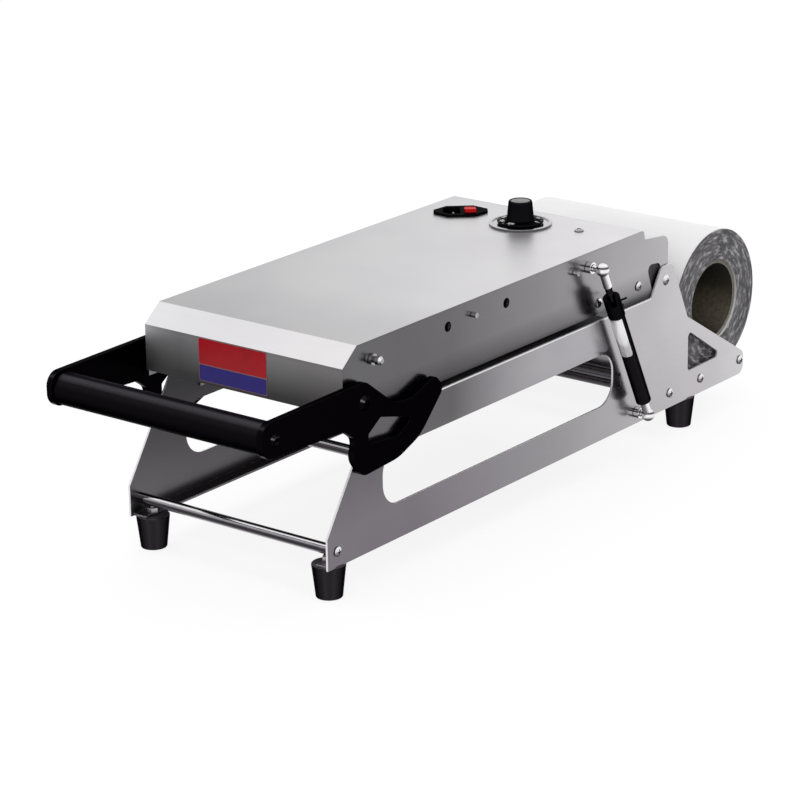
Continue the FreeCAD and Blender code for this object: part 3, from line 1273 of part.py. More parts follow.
# Power inlet with its pins, and the rocker switch beside them, all turned by the inlet's angle
bezel_outline = octagon(s.inlet_length, s.inlet_width, s.inlet_cut)
bezel = sheet_piece("inlet_bezel_plate", "XY_Plane", bezel_outline, s.inlet_bezel)
place_on_inlet(bezel, 0, 0, HEAD_TOP)
bezel_top = HEAD_TOP + s.inlet_bezel
inlet_low = HEAD_TOP - s.inlet_body_depth
case_outline = octagon(s.inlet_body_length, s.inlet_body_width, s.inlet_body_cut)
inlet_case = sheet_piece("inlet_case", "XY_Plane", case_outline, s.inlet_body_depth)
place_on_inlet(inlet_case, 0, 0, inlet_low)
half_socket = s.socket_length / 2
half_wide = s.socket_width / 2
SOCKET = (
    (half_socket, -half_wide),
    (half_socket, half_wide),
    (-half_socket + s.socket_cut, half_wide),
    (-half_socket, half_wide - s.socket_cut),
    (-half_socket, -half_wide + s.socket_cut),
    (-half_socket + s.socket_cut, -half_wide),
)
socket = sheet_piece("inlet_socket", "XY_Plane", SOCKET, s.socket_depth)
place_on_inlet(socket, s.socket_centre, 0, bezel_top - s.socket_depth)
rocker_room = s.rocker_gap * 2
well_length = s.rocker_length + rocker_room
well_width = s.rocker_width + rocker_room
switch_well = doc.addObject("Part::Box", "switch_well")
bind(switch_well, Length=well_length, Width=well_width, Height=s.rocker_depth)
place_on_inlet(switch_well, s.rocker_centre - well_length / 2, -well_width / 2, bezel_top - s.rocker_depth)
pin_bore = doc.addObject("Part::Cylinder", "switch_pin_bore")
pivot_drop = s.rocker_drop
bind(pin_bore, Radius=s.rocker_pivot_radius + s.running_gap, Height=s.rocker_length + s.rocker_gap * 4)
place_on_inlet(pin_bore, s.rocker_centre - s.rocker_length / 2 - s.rocker_gap * 2, 0, bezel_top - pivot_drop)
LYING = FreeCAD.Rotation(Z_AXIS, float(s.inlet_angle)).multiply(ALONG["x"])
pin_bore.Placement.Rotation = LYING
keep(cut("inlet_housing", fused("inlet_solid", bezel, inlet_case), socket, switch_well, pin_bore))
inlet_pins = []
socket_floor = bezel_top - s.socket_depth
for number, (along, across) in enumerate(((1, -1), (-1, 0), (1, 1))):
    pin = doc.addObject("Part::Box", "inlet_pin_%d" % number)
    bind(pin, Length=s.pin_gauge, Width=s.pin_width, Height=s.pin_height)
    inlet_pins.append(place_on_inlet(pin, s.socket_centre + along * s.pin_offset - s.pin_gauge / 2,
                                     across * s.pin_spacing - s.pin_width / 2, socket_floor))
keep(group("inlet_pins", inlet_pins))

# Rocker: drawn level about its own cross pin, dished on top, with ends that clear the well, then tipped
half_rocker = s.rocker_width / 2
rocker_end = half_rocker - s.rocker_taper
rocker_middle = pivot_drop + s.rocker_proud
ROCKER_PROFILE = (
    (-rocker_end, -pivot_drop),
    (rocker_end, -pivot_drop),
    (half_rocker, size(0)),
    (rocker_end, rocker_middle + s.rocker_dish),
    (size(0), rocker_middle),
    (-rocker_end, rocker_middle + s.rocker_dish),
    (-half_rocker, size(0)),
)
rocker_body = sheet_piece("rocker_block", "YZ_Plane", ROCKER_PROFILE, s.rocker_length)
place_on_inlet(rocker_body, s.rocker_centre - s.rocker_length / 2, 0, bezel_top - pivot_drop, -s.rocker_tilt)
rocker_pin = doc.addObject("Part::Cylinder", "rocker_pin")
bind(rocker_pin, Radius=s.rocker_pivot_radius, Height=s.rocker_length + s.rocker_gap * 3)
place_on_inlet(rocker_pin, s.rocker_centre - s.rocker_length / 2 - s.rocker_gap * 1.5, 0,
               bezel_top - pivot_drop)
rocker_pin.Placement.Rotation = LYING
keep(fused("rocker_switch", rocker_body, rocker_pin))

# Handle: a cam-shaped arm each side, the grip between them, and their screws, spacers and pivot bolts
CAM_OUTLINE = (
    (s.arm_front, s.arm_low, s.arm_rounding),
    (s.arm_front, s.arm_high, s.arm_rounding),
    (s.hub_top_run, s.hub_top_height, s.hub_rounding),
    (s.valley_run, s.valley_height, s.valley_rounding),
    (s.shoulder_run, s.shoulder_height),
    (s.horn_top_run, s.horn_top_height, s.horn_rounding),
    (s.horn_rear_run, s.horn_rear_height, s.horn_rounding),
    (s.belly_run, s.belly_height, s.belly_rounding),
    (s.belly_front_run, s.belly_front_height, s.belly_rounding),
    (s.lobe_low_run, s.lobe_low_height, s.lobe_rounding),
    (s.lobe_front_run, s.lobe_front_height, s.lobe_rounding),
    (s.throat_run, s.throat_height, s.throat_rounding),
    (s.throat_end_run, s.throat_end_height, s.throat_rounding),
)
HOOK = (
    (s.hook_front_run, s.hook_front_low, s.hook_rounding),
    (s.hook_front_run, s.hook_front_high, s.hook_rounding),
    (s.hook_top_run, s.hook_top_height, s.hook_rounding),
    (s.hook_rear_run, s.hook_rear_height, s.hook_rounding),
    (s.hook_low_run, s.hook_low_height, s.hook_rounding),
)
cam_holes = (
    (size(0), size(0), s.pivot_radius + s.running_gap),
    (s.grip_run, s.grip_height, s.grip_screw_radius + s.seat_gap),
)
GRIP_PLACE = (s.pivot_run + s.grip_run, PIVOT_HEIGHT + s.grip_height)
for word, sign in SIDES:
    arm = sheet_piece(word + "_arm", "YZ_Plane", CAM_OUTLINE, s.cam_gauge, (HOOK,), cam_holes)
    keep(place(arm, ARM_INSIDE if sign > 0 else -ARM_OUTSIDE, s.pivot_run, PIVOT_HEIGHT))
grip = body("grip_bar")
grip_sketch = sketch_on(grip, "XY_Plane", "grip_profile")
draw_circle(grip_sketch, size(0), size(0), s.grip_radius)
draw_circle(grip_sketch, size(0), size(0), s.grip_screw_radius + s.seat_gap)
grip_pad = pad(grip, grip_sketch, ARM_INSIDE * 2)
doc.recompute()
rims = ["Edge%d" % number for number, edge in enumerate(grip_pad.Shape.Edges, 1)
        if isinstance(edge.Curve, Part.Circle) and edge.Curve.Radius > float(s.grip_radius) - 1]
bevel = grip.newObject("PartDesign::Chamfer", "grip_bevel")
bevel.Base = (grip_pad, rims)
bind(bevel, Size=s.grip_edge)
keep(place(grip, -ARM_INSIDE, *GRIP_PLACE, "x"))


def button_bolt(name, sign, place_out, shank_radius, shank_length, head_radius, head, crown, key, key_depth):
    """A plain button-headed bolt: its shank reaches in from the arm's outer face."""
    run, height = place_out
    shank_from = ARM_OUTSIDE - shank_length if sign > 0 else -ARM_OUTSIDE
    shank = rod(name + "_shank", shank_radius, shank_length, shank_from, run, height)
    dome = doc.addObject("Part::Cone", name + "_dome")
    bind(dome, Radius1=head_radius, Radius2=crown, Height=head)
    place(dome, ARM_OUTSIDE if sign > 0 else -ARM_OUTSIDE, run, height)
    dome.Placement.Rotation = FreeCAD.Rotation(Z_AXIS, X_AXIS * sign)
    hexagon = doc.addObject("Part::Prism", name + "_hexagon")
    hexagon.Polygon = 6
    bind(hexagon, Circumradius=key, Height=key_depth)
    face = ARM_OUTSIDE + head - key_depth
    place(hexagon, face if sign > 0 else -face, run, height)
    hexagon.Placement.Rotation = FreeCAD.Rotation(Z_AXIS, X_AXIS * sign)
    return cut(name, fused(name + "_solid", shank, dome), hexagon)


grip_screws = []
pivot_bolts = []
spacers = []
pivot_place = (s.pivot_run, PIVOT_HEIGHT)
nut_face = HEAD_INSIDE - s.pivot_nut
for word, sign in SIDES:
    grip_screws.append(button_bolt(word + "_grip_screw", sign, GRIP_PLACE, s.grip_screw_radius,
                                   s.grip_screw_length,
                                   s.grip_screw_head_radius, s.grip_screw_head, s.grip_crown_radius,
                                   s.grip_key_radius, s.grip_key_depth))
    pivot_bolts.append(button_bolt(word + "_pivot_bolt", sign, pivot_place, s.pivot_radius,
                                   ARM_OUTSIDE - nut_face,
                                   s.pivot_head_radius, s.pivot_head, s.pivot_crown_radius,
                                   s.pivot_key_radius, s.pivot_key_depth))
    nut = doc.addObject("Part::Prism", word + "_pivot_nut_hexagon")
    nut.Polygon = 6
    bind(nut, Circumradius=s.pivot_nut_radius, Height=s.pivot_nut)
    place(nut, nut_face if sign > 0 else -HEAD_INSIDE, s.pivot_run, PIVOT_HEIGHT, "x")
    nut_bore = rod(word + "_pivot_nut_bore", s.pivot_radius + s.seat_gap, HEAD_WIDTH, -HEAD_SIDE, s.pivot_run,
                   PIVOT_HEIGHT)
    pivot_bolts.append(cut(word + "_pivot_nut", nut, nut_bore))
    spacer_long = ARM_INSIDE - HEAD_SIDE - s.side_gap
    spacer_from = HEAD_SIDE if sign > 0 else -HEAD_SIDE - spacer_long
    spacer = rod(word + "_spacer_solid", s.spacer_radius, spacer_long, spacer_from, s.pivot_run, PIVOT_HEIGHT)
    spacer_bore = rod(word + "_spacer_bore", s.pivot_radius + s.seat_gap, spacer_long, spacer_from,
                      s.pivot_run, PIVOT_HEIGHT)
    spacers.append(cut(word + "_spacer", spacer, spacer_bore))
keep(group("grip_screws", grip_screws))
keep(group("pivot_bolts", pivot_bolts))
keep(group("pivot_spacers", spacers))

# Gas spring: measured along its axis from the upper ball
upper = vector(SPRING_SIDE, s.spring_top_run, SPRING_TOP_HEIGHT)
lower = vector(SPRING_SIDE, SPRING_LOW_RUN, s.spring_low_height)
spring_length = (lower - upper).Length
down = (lower - upper).normalize()
tube_end = spring_length - float(s.tube_to_ball)


def along_spring(distance):
    return upper + down * float(distance)


def ball_socket(centre, neck_end):
    """A cup round a ball, open towards the machine, with a neck towards the spring."""
    shell = float(s.ball_radius + s.running_gap + s.socket_shell)
    neck = frustum(centre, neck_end, float(s.socket_neck_radius))
    solid = Part.makeSphere(shell, centre).fuse(neck)
    solid = solid.cut(Part.makeSphere(float(s.ball_radius + s.running_gap), centre))
    mouth = Part.makeCylinder(float(s.socket_mouth_radius), shell * 2, centre, X_AXIS * -1)
    return solid.cut(mouth)


def ball_stud(centre, seat_side, wall):
    """A ball on a stepped stud that stands on a sheet, with a nut behind the sheet."""
    seat = FreeCAD.Vector(seat_side, centre.y, centre.z)
    collar_end = seat + X_AXIS * float(s.ball_collar)
    inner_end = seat - X_AXIS * (wall + float(s.ball_nut))
    stud = Part.makeSphere(float(s.ball_radius), centre)
    stud = stud.fuse(frustum(centre, collar_end, float(s.ball_neck_radius)))
    stud = stud.fuse(frustum(seat, collar_end, float(s.ball_collar_radius)))
    stud = stud.fuse(frustum(seat, inner_end, float(s.ball_thread_radius)))
    behind = seat - X_AXIS * wall
    nut = frustum(behind, inner_end, float(s.ball_nut_radius), float(s.ball_thread_radius + s.seat_gap))
    return Part.Compound([stud, nut])


upper_stud = ball_stud(upper, float(HEAD_SIDE), float(gauge))
lower_stud = ball_stud(lower, float(FRAME_SIDE), float(s.plate_gauge))
keep(shaped("upper_ball_stud", upper_stud))
keep(shaped("lower_ball_stud", lower_stud))
keep(shaped("upper_ball_socket", ball_socket(upper, along_spring(s.rod_neck_end))))
keep(shaped("lower_ball_socket", ball_socket(lower, along_spring(tube_end))))
keep(shaped("piston_rod", frustum(along_spring(s.rod_neck_end), along_spring(s.piston_rod_end),
                                  float(s.piston_rod_radius))))
spring_cap = frustum(along_spring(s.cap_start), along_spring(s.cap_end), float(s.cap_radius),
                     float(s.cap_bore_radius))
outwards = (X_AXIS - X_AXIS.cross(down)).normalize()
cap_slot = Part.makeBox(float(s.cap_slot_width), float(s.cap_radius * 2), float(s.cap_slot_depth),
                        FreeCAD.Vector(-float(s.cap_slot_width) / 2, 0, 0))
cap_slot.Placement = FreeCAD.Placement(along_spring(s.cap_start),
                                       FreeCAD.Rotation(outwards.cross(down), outwards,
                                                                                   down, "ZYX"))
cap_pin_root = float(s.cap_bore_radius + s.cap_radius) / 2
cap_pin = Part.makeCylinder(float(s.cap_pin_radius), float(s.cap_pin_reach) - cap_pin_root,
                            along_spring(s.cap_pin_start) + Y_AXIS * cap_pin_root, Y_AXIS)
keep(shaped("spring_cap", spring_cap.cut(cap_slot).fuse(cap_pin)))
tube = frustum(along_spring(s.cap_end), along_spring(tube_end), float(s.tube_radius))
tube_room = frustum(along_spring(s.cap_end), along_spring(tube_end - float(s.tube_floor)),
                    float(s.tube_bore_radius))
keep(shaped("spring_tube", tube.cut(tube_room)))

doc.recompute()
for thing in doc.Objects:
    if "Invalid" in thing.State or "Error" in thing.State:
        raise RuntimeError("%s did not build: %s" % (thing.Name, thing.State))
os.makedirs("parts", exist_ok=True)
for thing in nodes:
    shape = thing.Shape
    if shape.isNull() or not shape.isValid():
        raise RuntimeError("%s has no valid shape" % thing.Label)
    shape.exportStep("parts/%s.step" % thing.Label)
print("%d pieces written" % len(nodes))
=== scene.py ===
import math

import bmesh
import bpy
from mathutils import Matrix, Vector


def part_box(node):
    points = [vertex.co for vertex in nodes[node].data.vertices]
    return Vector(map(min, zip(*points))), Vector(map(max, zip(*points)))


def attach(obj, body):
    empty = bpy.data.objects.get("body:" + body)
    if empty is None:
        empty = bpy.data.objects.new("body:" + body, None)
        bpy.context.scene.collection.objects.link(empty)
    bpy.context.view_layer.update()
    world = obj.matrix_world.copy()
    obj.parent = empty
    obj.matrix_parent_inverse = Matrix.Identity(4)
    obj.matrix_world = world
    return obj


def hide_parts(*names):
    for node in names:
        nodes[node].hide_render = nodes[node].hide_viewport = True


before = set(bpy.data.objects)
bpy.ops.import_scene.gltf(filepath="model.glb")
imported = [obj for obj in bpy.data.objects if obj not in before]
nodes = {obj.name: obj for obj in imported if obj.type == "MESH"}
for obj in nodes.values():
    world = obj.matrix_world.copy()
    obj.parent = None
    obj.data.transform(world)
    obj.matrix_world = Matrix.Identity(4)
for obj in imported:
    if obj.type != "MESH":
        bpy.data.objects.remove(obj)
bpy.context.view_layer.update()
MM = 0.001

# Camera: about three metres from the machine, a little above it, looking at the corner between the
# handle and the gas spring through a long lens, and rolled by under a degree.
CAMERA_AZIMUTH = math.radians(37.917)
CAMERA_HEIGHT_ANGLE = math.radians(18.75)
CAMERA_ROLL = math.radians(-0.8)
CAMERA_DISTANCE = 3.057564
CAMERA_AIM = (-76.701, 350, 21.353)
CAMERA_LENS = 140.998
CAMERA_SENSOR = 36
CAMERA_NEAR = 0.1
CAMERA_FAR = 60
plate_low, plate_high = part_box("right_side_plate")
MIDDLE = (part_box("left_side_plate")[0].x + plate_high.x) / 2


def at(side, run, height):
    """A place in millimetres from the mid-plane and from the side plates' front lower corner."""
    return Vector((MIDDLE + side * MM, plate_low.y + run * MM, plate_low.z + height * MM))


def put_in_scene(name, data):
    """An object that shows a camera, a lamp, a mesh or a text."""
    thing = bpy.data.objects.new(name, data)
    bpy.context.collection.objects.link(thing)
    return thing


camera_back = Vector((
    math.sin(CAMERA_AZIMUTH) * math.cos(CAMERA_HEIGHT_ANGLE),
    -math.cos(CAMERA_AZIMUTH) * math.cos(CAMERA_HEIGHT_ANGLE),
    math.sin(CAMERA_HEIGHT_ANGLE),
))
level_right = Vector((math.cos(CAMERA_AZIMUTH), math.sin(CAMERA_AZIMUTH), 0))
level_up = camera_back.cross(level_right)
camera_right = level_right * math.cos(CAMERA_ROLL) + level_up * math.sin(CAMERA_ROLL)
camera_up = level_up * math.cos(CAMERA_ROLL) - level_right * math.sin(CAMERA_ROLL)
camera_data = bpy.data.cameras.new("camera")
camera_data.lens = CAMERA_LENS
camera_data.sensor_width = CAMERA_SENSOR
camera_data.clip_start = CAMERA_NEAR
camera_data.clip_end = CAMERA_FAR
camera = put_in_scene("camera", camera_data)
camera.matrix_world = (Matrix.Translation(at(*CAMERA_AIM) + camera_back * CAMERA_DISTANCE)
                       @ Matrix((camera_right, camera_up, camera_back)).transposed().to_4x4())
bpy.context.scene.camera = camera
bpy.context.scene.view_settings.view_transform = "Standard"

# Studio: a white table that runs into a white background, with a large soft lamp overhead and two
# weaker ones. The metal mirrors the white room and the table, not the lamps.
FLOOR_HALF = 14
SKY_LIGHT = 0.56
TABLE_COLOUR = (0.2, 0.2, 0.203, 1)
TABLE_GLOW = 0.86
PURE_WHITE = (1, 1, 1, 1)
LAMPS_AIM = Vector((0, 0, 0.1))


def shade(red, green, blue):
    """A colour from 0 to 255, as a colour chart gives it, in the linear numbers that shaders take."""
    parts = [value / 255 for value in (red, green, blue)]
    return [part / 12.92 if part <= 0.04045 else ((part + 0.055) / 1.055) ** 2.4 for part in parts] + [1]


def node_in(tree, kind, sockets=None, **options):
    """Adds a shader node, sets its options, and gives its sockets values or other nodes' outputs."""
    node = tree.nodes.new("ShaderNode" + kind)
    for option, value in options.items():
        setattr(node, option, value)
    for socket, value in (sockets or {}).items():
        if isinstance(value, bpy.types.NodeSocket):
            tree.links.new(value, node.inputs[socket])
        else:
            node.inputs[socket].default_value = value
    return node


def seen_ray(tree):
    """One for what is seen straight, mirrored or through something, nought for what only lights."""
    path = node_in(tree, "LightPath").outputs
    first = node_in(tree, "Math", {0: path["Is Camera Ray"], 1: path["Is Glossy Ray"]}, operation="ADD")
    both = node_in(tree, "Math", {0: first.outputs[0], 1: path["Is Transmission Ray"]}, operation="ADD",
                   use_clamp=True)
    return both.outputs[0]


world = bpy.data.worlds.new("studio")
bpy.context.scene.world = world
world.use_nodes = True
sky = world.node_tree
sky.nodes.clear()
sky_dim = node_in(sky, "Background", {"Color": PURE_WHITE, "Strength": SKY_LIGHT})
sky_white = node_in(sky, "Background", {"Color": PURE_WHITE})
sky_mix = node_in(sky, "MixShader", {0: seen_ray(sky), 1: sky_dim.outputs[0], 2: sky_white.outputs[0]})
node_in(sky, "OutputWorld", {"Surface": sky_mix.outputs[0]})

table_mesh = bpy.data.meshes.new("table_top")
table_mesh.from_pydata([(-FLOOR_HALF, -FLOOR_HALF, 0), (FLOOR_HALF, -FLOOR_HALF, 0),
                        (FLOOR_HALF, FLOOR_HALF, 0), (-FLOOR_HALF, FLOOR_HALF, 0)], [], [(0, 1, 2, 3)])
table_top = put_in_scene("table_top", table_mesh)
white_table = bpy.data.materials.new("white_table")
white_table.use_nodes = True
table_tree = white_table.node_tree
table_shader = table_tree.nodes["Principled BSDF"]
table_shader.inputs["Base Color"].default_value = TABLE_COLOUR
table_shader.inputs["Roughness"].default_value = 0.9
table_shader.inputs["Specular IOR Level"].default_value = 0
table_shader.inputs["Emission Color"].default_value = PURE_WHITE
table_glow = node_in(table_tree, "Math", {0: seen_ray(table_tree), 1: TABLE_GLOW}, operation="MULTIPLY")
table_tree.links.new(table_glow.outputs[0], table_shader.inputs["Emission Strength"])
table_mesh.materials.append(white_table)

for lamp_name, lamp_place, lamp_size, lamp_power in (
    ("overhead_lamp", (-0.5, 0.1, 2.4), 2.2, 17),
    ("front_lamp", (1.6, -2.2, 1.3), 1.4, 12),
    ("rear_lamp", (-1.4, 1.9, 1.5), 1.6, 5),
):
    lamp_data = bpy.data.lights.new(lamp_name, "AREA")
    lamp_data.size = lamp_size
    lamp_data.energy = lamp_power
    lamp = put_in_scene(lamp_name, lamp_data)
    lamp.location = lamp_place
    lamp.visible_glossy = False
    lamp.rotation_euler = (Vector(lamp_place) - LAMPS_AIM).to_track_quat("Z", "Y").to_euler()

# Side plates: satin stainless sheet, cut to shape, with a foot flange folded inwards and a painted highlight
# along the top edge. The outside's tone is painted lighter towards the film roll and darker under the head's
# front, as painted reflection and shade, and the inside is painted darker, lighter towards the foot, as a
# painted reflection of the dark works.
PLATE_LENGTH = 673
PLATE_OUTER_SIDE = 114
PLATE_GAUGE_REACH = 1.05
PLATE_TOP = 121
PLATE_EDGE = 0.6 * MM
PLATE_BAND_CHANGE = (30, 95)
EDGE_HIGHLIGHT_DEPTH = 0.9
EDGE_HIGHLIGHT_FADE = 0.5
POST_RUN = 502
BRUSHED_ALONG = (700, 22, 700)
BRUSHED_ACROSS = (22, 700, 700)
STREAK_RELIEF = 0.2 * MM
WELD_REACH = 0.002 * MM
FLAT_WITHIN = math.radians(0.4)
SHARP_FROM = math.radians(38)
WHITE = (255, 255, 255)
BLACK = (0, 0, 0)
FACING_SIDEWAYS = 0.7


class Finish:
    """A material in the making: its nodes, its shader, and the place on the piece in the machine's axes."""

    def __init__(self, name, roughness, metallic=0.0):
        self.material = bpy.data.materials.new(name)
        self.material.use_nodes = True
        self.tree = self.material.node_tree
        self.shader = self.tree.nodes["Principled BSDF"]
        self.shader.inputs["Roughness"].default_value = roughness
        self.shader.inputs["Metallic"].default_value = metallic
        coordinates = self.add("TexCoord").outputs
        self.place = coordinates["Object"]
        self.normal = coordinates["Normal"]
        self.axes = self.add("SeparateXYZ", {0: self.place}).outputs

    def add(self, kind, sockets=None, **options):
        return node_in(self.tree, kind, sockets, **options)

    def noise(self, scale, detail=2, roughness=0.5, place=None):
        """Cloudy noise over the piece, or over a place that was stretched first."""
        return self.add("TexNoise", {"Scale": scale, "Detail": detail, "Roughness": roughness,
                                     "Vector": self.place if place is None else place}).outputs["Fac"]

    def spread(self, value, low, high, to_low=0, to_high=1):
        """Stretches the range from low to high onto another range, and holds it at both ends."""
        return self.add("MapRange", {"Value": value, "From Min": low, "From Max": high,
                                     "To Min": to_low, "To Max": to_high}).outputs["Result"]

    def ramp(self, factor, stops):
        """A colour for each value, from stops of (value, colour), where the values may have any range."""
        low, high = stops[0][0], stops[-1][0]
        ramp = self.add("ValToRGB", {"Fac": self.spread(factor, low, high)})
        elements = ramp.color_ramp.elements
        while len(elements) < len(stops):
            elements.new(0.5)
        for element, (value, colour) in zip(elements, stops):
            element.position = (value - low) / (high - low)
            element.color = shade(*colour)
        return ramp.outputs["Color"]

    def along(self, axis, stops):
        """A ramp along the machine's X, Y or Z axis, with its stops in millimetres."""
        number = "XYZ".index(axis)
        return self.ramp(self.axes[axis], [(at(way, way, way)[number], colour) for way, colour in stops])

    def mix(self, factor, first, second, way="MIX"):
        return self.add("Mix", {0: factor, 6: first, 7: second}, data_type="RGBA", blend_type=way).outputs[2]

    def times(self, first, second):
        """One tone darkened by another."""
        return self.mix(1.0, first, second, "MULTIPLY")

    def colour(self, tone):
        self.tone = tone
        self.tree.links.new(tone, self.shader.inputs["Base Color"])

    def roughen(self, roughness):
        self.tree.links.new(roughness, self.shader.inputs["Roughness"])

    def relief(self, height, strength, distance):
        """Lets the skin catch the light as if it were raised, by up to a distance in metres."""
        bump = self.add("Bump", {"Height": height, "Strength": strength, "Distance": distance})
        self.tree.links.new(bump.outputs["Normal"], self.shader.inputs["Normal"])

    def brush(self, tone, stretch, depth, roughness, contrast):
        """Brushes a metal: streaks drawn out along one axis vary its tone, roughness and relief. The
        roughness is a pair of lowest and highest."""
        drawn = self.add("Mapping", {"Vector": self.place, "Scale": stretch}).outputs[0]
        streaks = self.noise(scale=1, detail=5, roughness=0.65, place=drawn)
        streak_tone = self.ramp(streaks, [(0.3, [255 - contrast] * 3), (0.7, WHITE)])
        cloud_tone = self.ramp(self.noise(scale=9), [(0.35, (246, 245, 247)), (0.7, WHITE)])
        self.colour(self.times(self.times(tone, streak_tone), cloud_tone))
        self.roughen(self.spread(streaks, 0.3, 0.7, *roughness))
        self.relief(streaks, strength=depth, distance=STREAK_RELIEF)


def dress(finish, *names):
    for name in names:
        nodes[name].data.materials.clear()
        nodes[name].data.materials.append(finish.material)


def add_finishes(name, *finishes):
    """More finishes for a node that is dressed already, which its faces name by their order."""
    for finish in finishes:
        nodes[name].data.materials.append(finish.material)


def break_edges(*names, width, edge_material=-1):
    """Takes the sharpness off the edges of solids, which show as thin light lines."""
    for name in names:
        solid = nodes[name]
        for face in solid.data.polygons:
            face.use_smooth = True
        weld = solid.modifiers.new("joined_faces", "WELD")
        weld.merge_threshold = WELD_REACH
        flat = solid.modifiers.new("flat_faces", "DECIMATE")
        flat.decimate_type = "DISSOLVE"
        flat.angle_limit = FLAT_WITHIN
        edge = solid.modifiers.new("broken_edges", "BEVEL")
        edge.width = width
        edge.segments = 2
        edge.material = edge_material
        edge.limit_method = "ANGLE"
        edge.angle_limit = SHARP_FROM
        shine = solid.modifiers.new("even_shine", "WEIGHTED_NORMAL")
        shine.keep_sharp = False


plate_outside = Finish("plate_outside", roughness=0.25, metallic=1.0)
# Painted reflection and shade: the outside is painted lighter towards the rear, and darker under the head's
# front.
painted_low_band = plate_outside.along("Y", [
    (0, (122, 117, 123)), (130, (123, 118, 124)), (230, (138, 134, 139)), (330, (153, 150, 154)),
    (430, (174, 171, 174)), (490, (184, 181, 183)), (580, (194, 190, 192)), (PLATE_LENGTH, (206, 205, 206))])
painted_high_band = plate_outside.along("Y", [
    (0, (100, 97, 101)), (180, (100, 98, 101)), (220, (131, 129, 132)), (260, (153, 151, 154)),
    (320, (172, 170, 173)), (400, (180, 178, 181)), (500, (192, 190, 192)), (560, (204, 203, 204)),
    (PLATE_LENGTH, (208, 208, 208))])
rise = plate_outside.spread(plate_outside.axes["Z"], *[at(0, 0, height).z for height in PLATE_BAND_CHANGE])
# A painted highlight along the plate's top edge, in front of the post.
painted_edge_highlight = plate_outside.along("Z", [
    (PLATE_TOP - EDGE_HIGHLIGHT_DEPTH - EDGE_HIGHLIGHT_FADE, BLACK), (PLATE_TOP - EDGE_HIGHLIGHT_DEPTH, WHITE), (PLATE_TOP, WHITE),
    (PLATE_TOP + 0.1, BLACK)])
before_post = plate_outside.along("Y", [(POST_RUN - 1, WHITE), (POST_RUN, BLACK)])
plate_tone = plate_outside.mix(rise, painted_low_band, painted_high_band)
plate_tone = plate_outside.mix(plate_outside.times(painted_edge_highlight, before_post), plate_tone, shade(240, 239, 240))
plate_outside.brush(plate_tone, BRUSHED_ALONG, depth=0.006, roughness=(0.18, 0.26), contrast=5)

plate_inside = Finish("plate_inside", roughness=0.3, metallic=1.0)
# The inside is painted darker, lighter towards the foot: painted reflection of the dark works.
inner_band = plate_inside.along("Y", [
    (0, (150, 147, 151)), (90, (136, 133, 137)), (200, (124, 121, 125)), (420, (132, 129, 133)),
    (PLATE_LENGTH, (150, 147, 150))])
inner_rise = plate_inside.along("Z", [(15, (190, 190, 190)), (60, (156, 156, 156)), (105, (138, 138, 138))])
plate_inside.brush(plate_inside.times(inner_band, inner_rise), BRUSHED_ALONG,
                   depth=0.002, roughness=(0.28, 0.32), contrast=4)

# Cut edges and their broken corners are bare steel, painted near white as a painted highlight where they
# catch the light.
cut_edge_highlight = Finish("cut_edge_highlight", roughness=0.45, metallic=0.6)
cut_edge_highlight.colour(cut_edge_highlight.ramp(cut_edge_highlight.noise(scale=600), [(0.3, (240, 239, 240)), (0.7, (252, 251, 252))]))

PLATE_OUTSIDE, PLATE_INSIDE, PLATE_CUT = range(3)
for name, outward in (("right_side_plate", 1), ("left_side_plate", -1)):
    dress(plate_outside, name)
    add_finishes(name, plate_inside, cut_edge_highlight)
    outer_side = at(outward * PLATE_OUTER_SIDE, 0, 0).x
    for face in nodes[name].data.polygons:
        in_gauge = abs(face.center.x - outer_side) < PLATE_GAUGE_REACH * MM
        if abs(face.normal.x) < FACING_SIDEWAYS:
            face.material_index = PLATE_CUT if in_gauge else PLATE_INSIDE
        else:
            face.material_index = PLATE_INSIDE if face.normal.x * outward < 0 else PLATE_OUTSIDE
break_edges("right_side_plate", "left_side_plate", width=PLATE_EDGE, edge_material=PLATE_CUT)

# Rods: polished steel tie rods, the latch bar, the roll's axles and rollers and the film guides. Their tone
# is painted in bands by which way each face points, as painted reflections of the room's dark and light that
# run along them.
UPWARDS = (0, 0, 1)


def polish(name, roughness, bands, towards=UPWARDS, recess=0.0, glancing=1.0):
    """A mirror-like skin with painted light and shade: the bands give its tone by how far it faces a
    direction, from -1 to 1, as painted reflections and highlights. With a recess depth, hollows narrower than
    that get painted shade. Glancing is the share of light that a face seen at a low angle still mirrors."""
    skin = Finish(name, roughness, metallic=1.0)
    skin.shader.inputs["Specular Tint"].default_value = (glancing, glancing, glancing, 1)
    facing = skin.add("VectorMath", {0: skin.normal, 1: Vector(towards).normalized()},
                      operation="DOT_PRODUCT").outputs["Value"]
    wear = skin.noise(scale=260, detail=4)
    tone = skin.times(skin.ramp(facing, bands), skin.ramp(wear, [(0.3, (236, 236, 238)), (0.65, WHITE)]))
    if recess:
        painted_hollow_shade = skin.add("AmbientOcclusion", {"Distance": recess}, samples=8).outputs["AO"]
        tone = skin.times(tone, skin.ramp(painted_hollow_shade, [(0.5, (10, 9, 10)), (0.9, WHITE)]))
    skin.colour(tone)
    skin.roughen(skin.spread(wear, 0, 1, roughness * 0.7, roughness * 1.5))
    return skin


